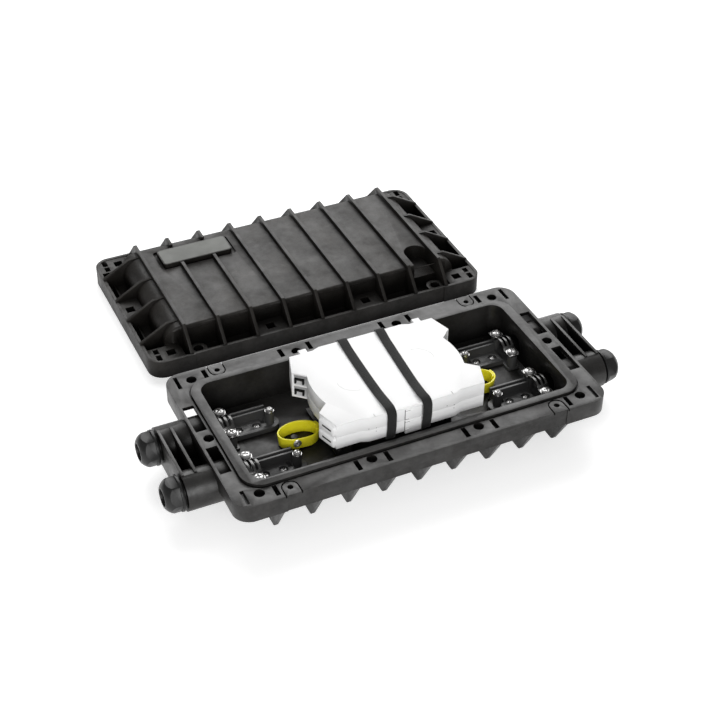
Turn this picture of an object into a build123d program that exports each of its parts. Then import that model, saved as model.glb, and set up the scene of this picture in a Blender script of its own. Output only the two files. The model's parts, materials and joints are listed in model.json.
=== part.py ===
from build123d import *
import math
import os

# Horizontal fibre splice closure: a ribbed base with four cable glands, clamp brackets and strapped
# splice trays, and its ribbed lid taken off and lying on its skirt behind the base.
# Millimetres, +X along the base, +Z up. The origin is on the surface under the base's centre.

# Ribs of both shells
RIB_PITCH = 33.0
RIB_COUNT = 9
RIB_T = 3.0
EMBED = 0.5

# Cavity and walls
CAVITY_X = 295.0
CAVITY_Y = 133.4
CAVITY_R = 11.5
CAVITY_DEPTH = 33.3
WALL = 3.0
BASE_RIB_DROP = 14.2
RIB_TIP_R = 5.0

# Flanges of both shells
FLANGE_X = 343.2
FLANGE_Y = 181.5
FLANGE_R = 15.0
FLANGE_T = 3.5
SKIRT_T = 3.0
BASE_SKIRT_H = 16.5
CORNER_STEP = 0.7
CORNER_STEP_X = 129.0
FIT_GAP = 0.3

# Sealing rim on the base and the gasket in the lid's groove
RIM_W_X = 8.9
RIM_W_Y = 6.7
RIM_H = 2.2
RIM_GROOVE_W = 1.0
RIM_GROOVE_D = 1.2
GROOVE_DEPTH = 5.0
GASKET_T = 2.5

# Bolt holes, jack screw holes, windows and slots in the flanges
BOLT_R = 4.6
BOLT_SQUARE = 8.2
BOLT_X_OUTER = 148.5
BOLT_X_INNER = 49.5
BOLT_Y = 78.7
BOLT_END_X = 161.9
PAD_HALF = 11.0
PAD_DROP = 0.5
JACK_X = 123.3
JACK_Y = 82.3
JACK_R = 2.5
JACK_GROOVE_R = 6.4
JACK_GROOVE_W = 1.2
JACK_GROOVE_D = 2.0
WINDOW_X = (159.0, 169.0)
WINDOW_Y = (11.2, 45.5)
CORNER_SLOT_X = (159.4, 162.8)
CORNER_SLOT_Y = (70.6, 87.2)
SHORT_SLOT_X = (133.0, 137.0)
SHORT_SLOT_Y = (75.2, 87.4)
SIDE_SLOT_OFFSET = 13.6
SIDE_SLOT_W = 4.2

# Cable ports and their webs
PORT_Y = 30.7
PORT_DROP = 20.8
SPOUT_R = 16.8
SPOUT_END_X = 197.4
PORT_BORE_R = 9.6
WEB_T = 2.4
WEB_X = 184.8
WEB_DROP = 3.0

# Gland neck, rubber seal, clamp ring and nut
NECK_R = 11.8
NECK_L = 8.6
SEAL_R = 9.8
SEAL_L = 16.0
SEAL_HOLE_R = 6.0
THREAD_GAP = 0.06
CLAMP_RING_R = 11.4
CLAMP_RING_HOLE_R = 7.0
CLAMP_RING_T = 1.9
RUN_GAP = 0.1
NUT_GAP = 2.4
NUT_COLLAR_R = 15.8
NUT_COLLAR_T = 2.0
NUT_FLATS = 27.0
NUT_CORNER_R = 15.3
NUT_HEX_L = 5.9
NUT_NOSE_L = 7.0
NUT_NOSE_R = 9.2
NUT_NOSE_BULGE = 1.1
NUT_MOUTH_R = 7.7

# Cable brackets
BRACKET_SCREW_X = (108.2, 124.7)
BRACKET_END_X = 95.7
BRACKET_OUTER_X = 142.0
BRACKET_HALF_W = 8.0
BRACKET_T = 4.6
BRACKET_FOOT_T = 2.2
BRACKET_WALL_T = 1.8
BRACKET_WALL_H = 12.8
BRACKET_GAP_W = 3.2
BRACKET_POCKET_X = (99.8, 103.6)
RECESS_R = 3.9
RECESS_D = 2.4
TOWER_X = 136.3
TOWER_SPREAD = 15.0
TOWER_R = 4.5
TOWER_H = 15.6
POST_R = 4.0
POST_H = 16.4

# Saddle clamps
SADDLE_W = 11.0
SADDLE_T = 1.2
SADDLE_RISE = 5.5
SADDLE_SLOT_W = 2.3
SADDLE_EAR_R = 5.2

# Screws: shank radius, head radius, head height, length under the head
M5_SCREW = (2.5, 4.9, 3.0, 11.0)
M4_SCREW = (2.0, 3.9, 2.6, 9.0)
M3_SCREW = (1.5, 2.9, 1.9, 9.0)
SCREW_HOLE_GAP = 0.05
CROSS_W = 1.1
CROSS_D = 1.2
WASHER_T = 0.8
WASHER_R = 4.4
FLOOR_BOSS_R = 4.4

# Fibre retaining rings
RING_X = (-81.5, 90.0)
RING_Y = 1.5
RING_LONG = 36.0
RING_SHORT = 23.4
RING_T = 1.6
RING_H = 11.2
RING_PAD_H = 1.6
RING_SCREW_X = -5.5
RING_SCREW_H = 7.5
STUD_R = 3.0
STUD_GAP = 0.5
RING_SCREW_L = 8.0
RING_HOLE_GAP = 0.6
RING_SEAT_GAP = 0.8

# Splice trays, covers and combs
TRAY_Y = -1.5
TRAY_HALF_X = 65.2
TRAY_BULGE = 2.8
TRAY_HALF_Y = 52.5
TRAY_STEP = 2.7
TRAY_STEP_X = (40.0, 47.0)
TRAY_LUG_X = 75.4
TRAY_LUG_Y = 29.0
TRAY_NOTCH_Y = 19.8
TRAY_CORNER_X = 68.9
TRAY_H = 12.0
TRAY_WALL = 1.6
TRAY_COVER_T = 1.8
TRAY_Z = 45.9
TRAY_ENTRY_W = 8.6
TRAY_ENTRY_H = 5.2
TRAY_ENTRY_SLIT = 1.5
TRAY_SLOT_H = 4.4
TRAY_SLOT_Y = (34.0, 46.0)
DRUM_R = 19.0
DRUM_X = 34.0
COMB_L = 34.0
COMB_W = 42.0
COMB_H = 7.0
COMB_SLOTS = 6
COMB_SLOT_W = 2.8
KNUCKLE_R = 1.7
KNUCKLE_L = 7.0
KNUCKLE_X = 54.9
KNUCKLE_REACH = 6.2

# Bridge under the trays and the two straps
BRIDGE_X = 96.0
BRIDGE_Y = 70.0
BRIDGE_T = 1.5
BRIDGE_FOOT = 12.0
BRIDGE_SCREW_Y = 24.0
BRIDGE_BOSS_H = 2.0
STRAP_X = (-19.9, 14.7)
STRAP_W = 8.0
STRAP_T = 1.5
STRAP_INNER_R = 0.1
STRAP_GAP = 0.1

# Lid
LID_X = 9.3
LID_Y = 242.7
LID_SKIRT_H = 18.0
DOME_HALF_Y = 68.0
DOME_RISE = 16.6
DOME_END_R = 17.0
DOME_EDGE_R = 2.5
LID_RIB_H = 4.9
LID_RIB_KNEE_Y = 70.9
LID_RIB_FOOT_RISE = 1.2
SEAL_BAND_H = 8.0
GUSSET_Y = (17.2, 56.4)
GUSSET_RISE = 1.0
GUSSET_KNEE_X = 144.2
COLLAR_R = 8.5
COLLAR_DROP = 1.5
COLLAR_HOLE_R = 4.75
END_WEB_H = 10.0
SCOOP_X = 118.9
SCOOP_R = 11.6
SCOOP_Y = 46.6
SCOOP_DEPTH = 14.6
WRENCH_R = 13.0
LID_SLOT_X = (159.0, 164.0)
LID_SLOT_Y = ((69.5, 76.5), (78.5, 87.0))
LID_SLOT_D = 12.0
LABEL_X = (-116.0, -45.4)
LABEL_Y = (28.8, 54.6)
LABEL_RAISE = 3.4
LABEL_R = 3.5
MOAT_W = 3.2
MOAT_D = 1.9

# Heights that follow from the sizes above
TUB_BOTTOM = BASE_RIB_DROP
FLOOR_Z = TUB_BOTTOM + WALL
FLANGE_TOP = FLOOR_Z + CAVITY_DEPTH
PLATE_Z = FLANGE_TOP - FLANGE_T
SKIRT_Z = FLANGE_TOP - BASE_SKIRT_H
PORT_Z = FLANGE_TOP - PORT_DROP
WEB_BOTTOM = PORT_Z - SPOUT_R + WEB_T
TUB_X = CAVITY_X + 2 * WALL
TUB_Y = CAVITY_Y + 2 * WALL
NECK_END_X = SPOUT_END_X + NECK_L
SEAL_END_X = NECK_END_X
SEAL_START_X = SEAL_END_X - SEAL_L
CLAMP_RING_X = SEAL_END_X + RUN_GAP
NUT_START_X = SPOUT_END_X + NUT_GAP
NUT_SHOULDER_X = CLAMP_RING_X + CLAMP_RING_T + RUN_GAP
NUT_HEX_X = NUT_START_X + NUT_COLLAR_T
NUT_NOSE_X = NUT_HEX_X + NUT_HEX_L
NUT_END_X = NUT_NOSE_X + NUT_NOSE_L
SADDLE_Z = FLOOR_Z + TOWER_H
POST_TOP = FLOOR_Z + POST_H
SADDLE_HALF_SPAN = TOWER_SPREAD - M5_SCREW[1] - FIT_GAP - SADDLE_T
BRIDGE_TOP = TRAY_Z
TRAY_TOP = TRAY_Z + 2 * TRAY_H + TRAY_COVER_T
DOME_TOP = LID_SKIRT_H + DOME_RISE
LID_RIB_TOP = DOME_TOP + LID_RIB_H
LID_RIB_FOOT_Z = LID_SKIRT_H + LID_RIB_FOOT_RISE
GUSSET_TOP = DOME_TOP + GUSSET_RISE
COLLAR_TOP = LID_SKIRT_H - COLLAR_DROP
SCOOP_FLOOR = DOME_TOP - SCOOP_DEPTH
PAD_TOP = LID_SKIRT_H - PAD_DROP
SIDES = (-1, 1)


def block(x0, x1, y0, y1, z0, z1):
    """A box between two corners."""
    size = Box(x1 - x0, y1 - y0, z1 - z0)
    return Pos((x0 + x1) / 2, (y0 + y1) / 2, (z0 + z1) / 2) * size


def rod(x, y, z0, z1, r):
    """An upright cylinder."""
    return Pos(x, y, (z0 + z1) / 2) * Cylinder(r, z1 - z0)


def rod_x(x0, x1, y, z, r):
    """A cylinder along X."""
    return Pos((x0 + x1) / 2, y, z) * Rot(0, 90, 0) * Cylinder(r, abs(x1 - x0))


def plate(length, width, r, z0, z1):
    """A rounded rectangle between two heights, centred on the origin."""
    return Pos(0, 0, z0) * extrude(RectangleRounded(length, width, r), amount=z1 - z0)


def cross_plate(points, x, t, r):
    """A plate across the part at x, from a closed outline of (y, z) points with rounded corners."""
    outline = Plane.YZ.offset(x - t / 2) * make_face(FilletPolyline(*points, radius=r, close=True))
    return extrude(outline, amount=t)


def long_plate(points, y, t):
    """A plate along the part at y, from a closed outline of (x, z) points."""
    outline = Plane.XZ.offset(-(y + t / 2)) * make_face(Polyline(*points, close=True))
    return extrude(outline, amount=t)


def corners(x, y):
    """The four mirror places of a point."""
    return [(sx * x, sy * y) for sx in SIDES for sy in SIDES]


def mirrored_block(xs, ys, z0, z1, sx, sy):
    """A box given in the first quadrant, mirrored into another one."""
    x0, x1 = sorted((sx * xs[0], sx * xs[1]))
    y0, y1 = sorted((sy * ys[0], sy * ys[1]))
    return block(x0, x1, y0, y1, z0, z1)


def flange(z0, z1, inset=0.0):
    """The flange outline shared by base and lid, with the stepped corners, moved in by an inset."""
    radius = FLANGE_R - inset
    main = RectangleRounded(FLANGE_X - 2 * inset, FLANGE_Y - 2 * inset, radius)
    wide = RectangleRounded(FLANGE_X - 2 * inset, FLANGE_Y + 2 * CORNER_STEP - 2 * inset, radius)
    middle = Rectangle(2 * CORNER_STEP_X, FLANGE_Y + 4 * CORNER_STEP)
    return Pos(0, 0, z0) * extrude(main + (wide - middle), amount=z1 - z0)


def rib_places():
    """The X places of the cross ribs."""
    middle = (RIB_COUNT - 1) / 2
    return [(i - middle) * RIB_PITCH for i in range(RIB_COUNT)]


def screw(kind, head_up=True):
    """A cross recessed pan head screw along Z, with the underside of its head at the origin."""
    shank_r, head_r, head_h, length = kind
    head = Pos(0, 0, head_h / 2) * Cylinder(head_r, head_h)
    head = fillet(head.edges().sort_by(Axis.Z)[-1], head_h * 0.45)
    shank = Pos(0, 0, -length / 2) * Cylinder(shank_r, length)
    arm = Box(1.3 * head_r, CROSS_W, 2 * CROSS_D)
    recess = Pos(0, 0, head_h) * (arm + Rot(0, 0, 90) * arm)
    return head + shank - recess


def bolt_places():
    """The ten places of the closing bolts, shared by both shells."""
    return corners(BOLT_X_OUTER, BOLT_Y) + corners(BOLT_X_INNER, BOLT_Y) + [(-BOLT_END_X, 0), (BOLT_END_X, 0)]


def base_bolt_pads():
    """Solid pads that the closing bolts clamp, inside the base's skirt."""
    inner_y = TUB_Y / 2 - WALL / 2
    outer_y = FLANGE_Y / 2 - SKIRT_T / 2
    pads = []
    for sx, sy in corners(1, 1):
        for x in (BOLT_X_INNER, BOLT_X_OUTER, JACK_X):
            half = PAD_HALF if x != JACK_X else PAD_HALF / 2
            pads.append(mirrored_block((x - half, x + half), (inner_y, outer_y), SKIRT_Z, FLANGE_TOP, sx, sy))
    for sx in SIDES:
        xs = (TUB_X / 2 - WALL / 2, FLANGE_X / 2 - SKIRT_T / 2)
        pads.append(mirrored_block(xs, (-PAD_HALF, PAD_HALF), SKIRT_Z, FLANGE_TOP, sx, 1))
    return pads


def base_rib(x):
    """One cross rib of the base, whose two pointed ends are the feet."""
    foot_y = FLANGE_Y / 2 - 0.9
    tip_y = TUB_Y / 2 + 0.1
    points = [(-foot_y, SKIRT_Z), (-tip_y, 0), (tip_y, 0), (foot_y, SKIRT_Z),
              (foot_y, PLATE_Z), (-foot_y, PLATE_Z)]
    outline = make_face(Polyline(*points, close=True))
    outline = fillet(outline.vertices().group_by(Axis.Y)[0], RIB_TIP_R)
    return extrude(Plane.YZ.offset(x - RIB_T / 2) * outline, amount=RIB_T)


def port_blanks(side):
    """Two spouts with their necks and the webs that join them, before boring."""
    solids = []
    for y in (-PORT_Y, PORT_Y):
        solids.append(rod_x(side * (CAVITY_X / 2 + WALL / 2), side * SPOUT_END_X, y, PORT_Z, SPOUT_R))
        solids.append(rod_x(side * SPOUT_END_X, side * NECK_END_X, y, PORT_Z, NECK_R))
    for x1 in (SPOUT_END_X, WEB_X + WEB_T / 2):
        top = FLANGE_TOP - WEB_DROP
        solids.append(mirrored_block((x1 - WEB_T, x1), (-PORT_Y, PORT_Y), WEB_BOTTOM, top, side, 1))
    xs = (TUB_X / 2 - EMBED, SPOUT_END_X)
    solids.append(mirrored_block(xs, (-PORT_Y, PORT_Y), WEB_BOTTOM, WEB_BOTTOM + WEB_T, side, 1))
    return solids


def port_cuts(side):
    """The cable bores with the wider seats of the rubber seals."""
    solids = []
    for y in (-PORT_Y, PORT_Y):
        solids.append(rod_x(side * (CAVITY_X / 2 - 1), side * SPOUT_END_X, y, PORT_Z, PORT_BORE_R))
        solids.append(rod_x(side * SEAL_START_X, side * (NECK_END_X + 1), y, PORT_Z, SEAL_R + RUN_GAP))
    return solids


def jack_arch(sx, sy, r):
    """An arch round a jack hole, open to the flange's outer edge."""
    z0, z1 = FLANGE_TOP - JACK_GROOVE_D, FLANGE_TOP + 1
    arch = mirrored_block((JACK_X - r, JACK_X + r), (JACK_Y, FLANGE_Y / 2 + 1), z0, z1, sx, sy)
    return arch + rod(sx * JACK_X, sy * JACK_Y, z0, z1, r)


def base_flange_cuts():
    """Bolt holes, jack holes with their curved grooves, windows and slots in the base's flange."""
    z0, z1 = SKIRT_Z - 1, FLANGE_TOP + 1
    cuts = []
    for x, y in bolt_places():
        cuts.append(rod(x, y, z0, z1, BOLT_R))
    for sx, sy in corners(1, 1):
        cuts.append(rod(sx * JACK_X, sy * JACK_Y, z0, z1, JACK_R))
        cuts.append(jack_arch(sx, sy, JACK_GROOVE_R + JACK_GROOVE_W) - jack_arch(sx, sy, JACK_GROOVE_R))
        cuts.append(mirrored_block(WINDOW_X, WINDOW_Y, PLATE_Z - 1, z1, sx, sy))
        cuts.append(mirrored_block(CORNER_SLOT_X, CORNER_SLOT_Y, PLATE_Z - 1, z1, sx, sy))
        cuts.append(mirrored_block(SHORT_SLOT_X, SHORT_SLOT_Y, PLATE_Z - 1, z1, sx, sy))
        for offset in (-SIDE_SLOT_OFFSET, SIDE_SLOT_OFFSET):
            x = BOLT_X_INNER + offset
            xs = (x - SIDE_SLOT_W / 2, x + SIDE_SLOT_W / 2)
            cuts.append(mirrored_block(xs, SHORT_SLOT_Y, PLATE_Z - 1, z1, sx, sy))
    return cuts


def floor_screw_places():
    """Where screws go into the base's floor: each place with its screw and the height of its seat."""
    places = []
    for sx in SIDES:
        for y in (-PORT_Y, PORT_Y):
            for x in BRACKET_SCREW_X:
                places.append((sx * x, y, FLOOR_Z + BRACKET_T - RECESS_D, M3_SCREW))
        for y in (-BRIDGE_SCREW_Y, BRIDGE_SCREW_Y):
            x = BRIDGE_X / 2 + BRIDGE_FOOT / 2
            places.append((sx * x, y, FLOOR_Z + BRIDGE_BOSS_H + BRIDGE_T, M3_SCREW))
    return places


def base_shell():
    """The moulded base: tub, flange, skirt, ribs, ports, floor bosses and ring studs."""
    solid = plate(TUB_X, TUB_Y, CAVITY_R + WALL, TUB_BOTTOM, FLANGE_TOP)
    solid += flange(SKIRT_Z, FLANGE_TOP) - flange(SKIRT_Z, PLATE_Z, SKIRT_T)
    rim_x = CAVITY_X + 2 * RIM_W_X
    rim_y = CAVITY_Y + 2 * RIM_W_Y
    solid += plate(rim_x, rim_y, CAVITY_R + RIM_W_Y, PLATE_Z, FLANGE_TOP + RIM_H)
    for x in rib_places():
        solid += base_rib(x)
    solid += base_bolt_pads()
    for side in SIDES:
        solid += port_blanks(side)
    for x, y, seat, kind in floor_screw_places():
        solid += rod(x, y, seat - kind[3] - 1, FLOOR_Z, FLOOR_BOSS_R)
    groove = plate(rim_x + 2 * RIM_GROOVE_W, rim_y + 2 * RIM_GROOVE_W, CAVITY_R + RIM_W_Y,
                   FLANGE_TOP - RIM_GROOVE_D, FLANGE_TOP + RIM_H)
    solid -= groove - plate(rim_x, rim_y, CAVITY_R + RIM_W_Y, FLANGE_TOP - RIM_GROOVE_D, FLANGE_TOP + RIM_H)
    solid -= plate(CAVITY_X, CAVITY_Y, CAVITY_R, FLOOR_Z, FLANGE_TOP + RIM_H + 1)
    for side in SIDES:
        solid -= port_cuts(side)
        for y in (-BRIDGE_SCREW_Y, BRIDGE_SCREW_Y):
            x = side * (BRIDGE_X / 2 + BRIDGE_FOOT / 2)
            solid += rod(x, y, FLOOR_Z - 0.5, FLOOR_Z + BRIDGE_BOSS_H, FLOOR_BOSS_R)
    for x in RING_X:
        pad = Pos(x, RING_Y, FLOOR_Z - EMBED) * Ellipse(RING_LONG / 2, RING_SHORT / 2)
        solid += extrude(pad, amount=RING_PAD_H + EMBED)
        solid += ring_stud(x)
    solid -= base_flange_cuts()
    for x, y, seat, kind in floor_screw_places():
        solid -= rod(x, y, seat - kind[3], FLOOR_Z + BRIDGE_BOSS_H + 1, kind[0] + SCREW_HOLE_GAP)
    return solid


def ring_wall_y():
    """The Y place of a ring's near wall, outside, where its screw sits."""
    share = RING_SCREW_X / (RING_LONG / 2)
    return RING_Y - RING_SHORT / 2 * (1 - share ** 2) ** 0.5


def ring_screw_z():
    """The height of a ring's screw."""
    return FLOOR_Z + RING_PAD_H + RING_SCREW_H


def ring_stud(x):
    """The stud behind a ring's near wall that takes its screw."""
    stud_x = x + RING_SCREW_X
    y0 = ring_wall_y() + RING_T + STUD_GAP
    z0 = FLOOR_Z + RING_PAD_H
    stud = rod(stud_x, y0 + STUD_R, z0 - EMBED, ring_screw_z() + STUD_R, STUD_R)
    hole = Pos(stud_x, y0 + STUD_R, ring_screw_z()) * Rot(90, 0, 0)
    return stud - hole * Cylinder(M3_SCREW[0] + SCREW_HOLE_GAP, 2 * STUD_R + 1)


def gland_nut(side, y):
    """A six sided nut with a collar and a domed nose, bored to run on the neck."""
    hexagon = Plane.YZ * RegularPolygon(NUT_FLATS / 2, 6, major_radius=False)
    length = NUT_END_X - NUT_HEX_X
    outer = [(NUT_HEX_X, 0), (NUT_HEX_X, NUT_CORNER_R), (NUT_NOSE_X, NUT_CORNER_R)]
    profile = Polyline(*outer) + ThreePointArc(
        (NUT_NOSE_X, NUT_CORNER_R),
        (NUT_NOSE_X + NUT_NOSE_L / 2, (NUT_CORNER_R + NUT_NOSE_R) / 2 + NUT_NOSE_BULGE),
        (NUT_END_X, NUT_NOSE_R),
    )
    profile += Polyline((NUT_END_X, NUT_NOSE_R), (NUT_END_X, 0), (NUT_HEX_X, 0))
    envelope = revolve(make_face(profile), Axis.X)
    solid = (Pos(NUT_HEX_X, 0, 0) * extrude(hexagon, amount=length)) & envelope
    solid += rod_x(NUT_START_X, NUT_HEX_X, 0, 0, NUT_COLLAR_R)
    solid -= rod_x(NUT_START_X - 1, NUT_SHOULDER_X, 0, 0, NECK_R + THREAD_GAP)
    solid -= rod_x(NUT_SHOULDER_X - 1, NUT_END_X + 1, 0, 0, NUT_MOUTH_R)
    solid = Pos(0, y, PORT_Z) * solid
    return solid if side > 0 else Rot(0, 0, 180) * Pos(0, -2 * y, 0) * solid


def clamp_ring(side, y):
    """The split pressure ring between the nut's shoulder and the rubber seal."""
    ring = rod_x(CLAMP_RING_X, CLAMP_RING_X + CLAMP_RING_T, y, PORT_Z, CLAMP_RING_R)
    ring -= rod_x(CLAMP_RING_X - 1, CLAMP_RING_X + CLAMP_RING_T + 1, y, PORT_Z, CLAMP_RING_HOLE_R)
    return ring if side > 0 else mirror(ring, Plane.YZ)


def gland_seal(side, y):
    """The rubber seal in the neck, with the cable's hole through it."""
    seal = rod_x(SEAL_START_X, SEAL_END_X, y, PORT_Z, SEAL_R)
    seal -= rod_x(SEAL_START_X - 1, SEAL_END_X + 1, y, PORT_Z, SEAL_HOLE_R)
    return seal if side > 0 else mirror(seal, Plane.YZ)


def bracket(side, y):
    """A clamp bracket: foot plate with two recessed screws, side walls, post and two saddle towers."""
    top = FLOOR_Z + BRACKET_T
    wall_top = FLOOR_Z + BRACKET_WALL_H
    walls_y = BRACKET_HALF_W + 2 * BRACKET_WALL_T + BRACKET_GAP_W
    wall_end = TOWER_X - TOWER_R - 0.5
    solid = block(BRACKET_END_X, wall_end, -BRACKET_HALF_W, walls_y, FLOOR_Z, FLOOR_Z + BRACKET_FOOT_T)
    solid += block(BRACKET_END_X, wall_end, -BRACKET_HALF_W, BRACKET_HALF_W, FLOOR_Z, top)
    solid += rod(BRACKET_END_X, 0, FLOOR_Z, top, BRACKET_HALF_W)
    for y0 in (BRACKET_HALF_W, walls_y - BRACKET_WALL_T):
        solid += block(BRACKET_END_X, wall_end, y0, y0 + BRACKET_WALL_T, FLOOR_Z, wall_top)
    foot_y = TOWER_SPREAD + TOWER_R
    solid += block(wall_end - 0.5, BRACKET_OUTER_X, -foot_y, foot_y, FLOOR_Z, FLOOR_Z + BRACKET_FOOT_T)
    for sy in SIDES:
        solid += rod(TOWER_X, sy * TOWER_SPREAD, FLOOR_Z, SADDLE_Z, TOWER_R)
        solid -= rod(TOWER_X, sy * TOWER_SPREAD, FLOOR_Z + 1, SADDLE_Z + 1, M5_SCREW[0] + SCREW_HOLE_GAP)
    solid += rod(BRACKET_END_X, 0, FLOOR_Z, POST_TOP, POST_R)
    solid -= rod(BRACKET_END_X, 0, POST_TOP - M4_SCREW[3], POST_TOP + 1, M4_SCREW[0] + SCREW_HOLE_GAP)
    pocket = block(*BRACKET_POCKET_X, 0, BRACKET_HALF_W - 0.5, FLOOR_Z + 1, top + 1)
    solid -= pocket
    for x in BRACKET_SCREW_X:
        solid -= rod(x, 0, top - RECESS_D, top + 1, RECESS_R)
        solid -= rod(x, 0, FLOOR_Z - 1, top, M3_SCREW[0] + SCREW_HOLE_GAP)
    if side < 0:
        solid = mirror(solid, Plane.YZ)
    return Pos(0, y, 0) * solid


def saddle(side, y):
    """A pressed steel saddle: two ears and an arch of three bands between two slots."""
    half = SADDLE_HALF_SPAN
    outer_rise = SADDLE_RISE + SADDLE_T
    z0, z1 = SADDLE_Z, SADDLE_Z + SADDLE_T
    inner = ThreePointArc((-half, z0), (0, z0 + SADDLE_RISE), (half, z0))
    outer = ThreePointArc((half + SADDLE_T, z1), (0, z0 + outer_rise), (-half - SADDLE_T, z1))
    ear_y = TOWER_SPREAD + SADDLE_EAR_R
    left = Polyline((-half - SADDLE_T, z1), (-ear_y, z1), (-ear_y, z0), (-half, z0))
    right = Polyline((half, z0), (ear_y, z0), (ear_y, z1), (half + SADDLE_T, z1))
    face = make_face(inner + right + outer + left)
    solid = Plane.YZ.offset(TOWER_X - SADDLE_W / 2) * extrude(face, amount=SADDLE_W)
    for sx in SIDES:
        x = TOWER_X + sx * SADDLE_W / 5
        xs = (x - SADDLE_SLOT_W / 2, x + SADDLE_SLOT_W / 2)
        solid -= block(*xs, -half + 1, half - 1, z0, z0 + outer_rise + 1)
    for sy in SIDES:
        solid -= rod(TOWER_X, sy * TOWER_SPREAD, z0 - 1, z1 + 1, M5_SCREW[0] + 0.2)
    if side < 0:
        solid = mirror(solid, Plane.YZ)
    return Pos(0, y, 0) * solid


def tray_outline(inset=0.0):
    """The splice tray's outline: bulging ends between four flared lugs, and sides with a wider middle."""
    hx, hy = TRAY_HALF_X - inset, TRAY_HALF_Y - inset
    step_y = TRAY_HALF_Y - TRAY_STEP - inset
    lug_x, lug_y, notch = TRAY_LUG_X - inset, TRAY_LUG_Y - inset, TRAY_NOTCH_Y - inset
    quarter = [(hx, notch), (lug_x, lug_y), (TRAY_CORNER_X - inset, step_y),
               (TRAY_STEP_X[1], step_y), (TRAY_STEP_X[0], hy)]
    far = Polyline(*quarter, *[(-x, y) for x, y in reversed(quarter)])
    near = Polyline(*[(-x, -y) for x, y in quarter], *[(x, -y) for x, y in reversed(quarter)])
    right = ThreePointArc((hx, -notch), (hx + TRAY_BULGE, 0), (hx, notch))
    left = ThreePointArc((-hx, notch), (-hx - TRAY_BULGE, 0), (-hx, -notch))
    return make_face(right + far + left + near)


def tray_tab_slit():
    """The three-sided slit that frees a fibre tab, round the origin, with the tab's face across X."""
    side, height = TRAY_ENTRY_W / 2, TRAY_ENTRY_H / 2
    slit = block(-TRAY_WALL, TRAY_WALL, -side, side, -height, height)
    inner = side - TRAY_ENTRY_SLIT
    return slit - block(-TRAY_H, TRAY_H, -inner, inner, -TRAY_H, height - TRAY_ENTRY_SLIT)


def tray_entries(z0):
    """The fibre entries of one tray: a mouth in two lugs' outer faces, a tab in the others' shoulders."""
    z = z0 + TRAY_H / 2
    run_x, run_y = TRAY_LUG_X - TRAY_HALF_X, TRAY_LUG_Y - TRAY_NOTCH_Y
    turn = math.degrees(math.atan2(run_x, run_y))
    half = TRAY_SLOT_H / 2
    mouth = block(TRAY_CORNER_X - TRAY_WALL, TRAY_LUG_X, *TRAY_SLOT_Y, z - half, z + half)
    middle = Pos(-(TRAY_LUG_X + TRAY_HALF_X) / 2, (TRAY_LUG_Y + TRAY_NOTCH_Y) / 2, z)
    one_end = mouth + middle * Rot(0, 0, turn) * tray_tab_slit()
    return one_end + Rot(0, 0, 180) * one_end


def splice_tray(z0):
    """A shallow tray with two winding drums and fibre entries in its four lugs."""
    solid = Pos(0, 0, z0) * extrude(tray_outline(), amount=TRAY_H)
    solid -= Pos(0, 0, z0 + TRAY_WALL) * extrude(tray_outline(TRAY_WALL), amount=TRAY_H)
    for sx in SIDES:
        drum = rod(sx * DRUM_X, 0, z0, z0 + TRAY_H - 1, DRUM_R)
        solid += drum - rod(sx * DRUM_X, 0, z0 + TRAY_WALL, z0 + TRAY_H, DRUM_R - TRAY_WALL)
    return solid - tray_entries(z0)


def splice_comb(z0):
    """The block of parallel slots that holds the splice sleeves between the drums."""
    solid = block(-COMB_L / 2 + 0.5, COMB_L / 2 - 0.5, -COMB_W / 2, COMB_W / 2, z0, z0 + COMB_H)
    pitch = COMB_W / COMB_SLOTS
    for i in range(COMB_SLOTS):
        y = (i - (COMB_SLOTS - 1) / 2) * pitch
        solid -= block(-COMB_L, COMB_L, y - COMB_SLOT_W / 2, y + COMB_SLOT_W / 2, z0 + 2, z0 + COMB_H + 1)
    for sx in SIDES:
        solid -= rod(sx * DRUM_X, 0, z0 - 1, z0 + COMB_H + 1, DRUM_R + FIT_GAP)
    return solid


def tray_cover():
    """The flat cover of the upper tray, with two hinge knuckles at its far edge."""
    z0 = TRAY_Z + 2 * TRAY_H
    solid = Pos(0, 0, z0) * extrude(tray_outline(), amount=TRAY_COVER_T)
    for sx in SIDES:
        x = sx * KNUCKLE_X
        y0 = TRAY_HALF_Y - TRAY_STEP - EMBED
        y1 = TRAY_HALF_Y - TRAY_STEP + KNUCKLE_REACH
        xs = (x - KNUCKLE_L / 2, x + KNUCKLE_L / 2)
        solid += block(*xs, y0, y1 - KNUCKLE_R, z0, TRAY_TOP)
        solid += rod_x(*xs, y1 - KNUCKLE_R, TRAY_TOP - KNUCKLE_R, KNUCKLE_R)
    return solid


def tray_bridge():
    """The folded bridge that carries the trays above the fibre store."""
    under = BRIDGE_TOP - BRIDGE_T
    seat = FLOOR_Z + BRIDGE_BOSS_H
    hx, hy = BRIDGE_X / 2, BRIDGE_Y / 2
    solid = block(-hx, hx, -hy, hy, under, BRIDGE_TOP)
    for sx in SIDES:
        solid += mirrored_block((hx - BRIDGE_T, hx), (-hy, hy), seat, BRIDGE_TOP, sx, 1)
        solid += mirrored_block((hx - BRIDGE_T, hx + BRIDGE_FOOT), (-hy, hy), seat, seat + BRIDGE_T, sx, 1)
        for y in (-BRIDGE_SCREW_Y, BRIDGE_SCREW_Y):
            x = sx * (hx + BRIDGE_FOOT / 2)
            solid -= rod(x, y, seat - 1, seat + BRIDGE_T + 1, M3_SCREW[0] + 0.2)
    return solid


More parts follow.
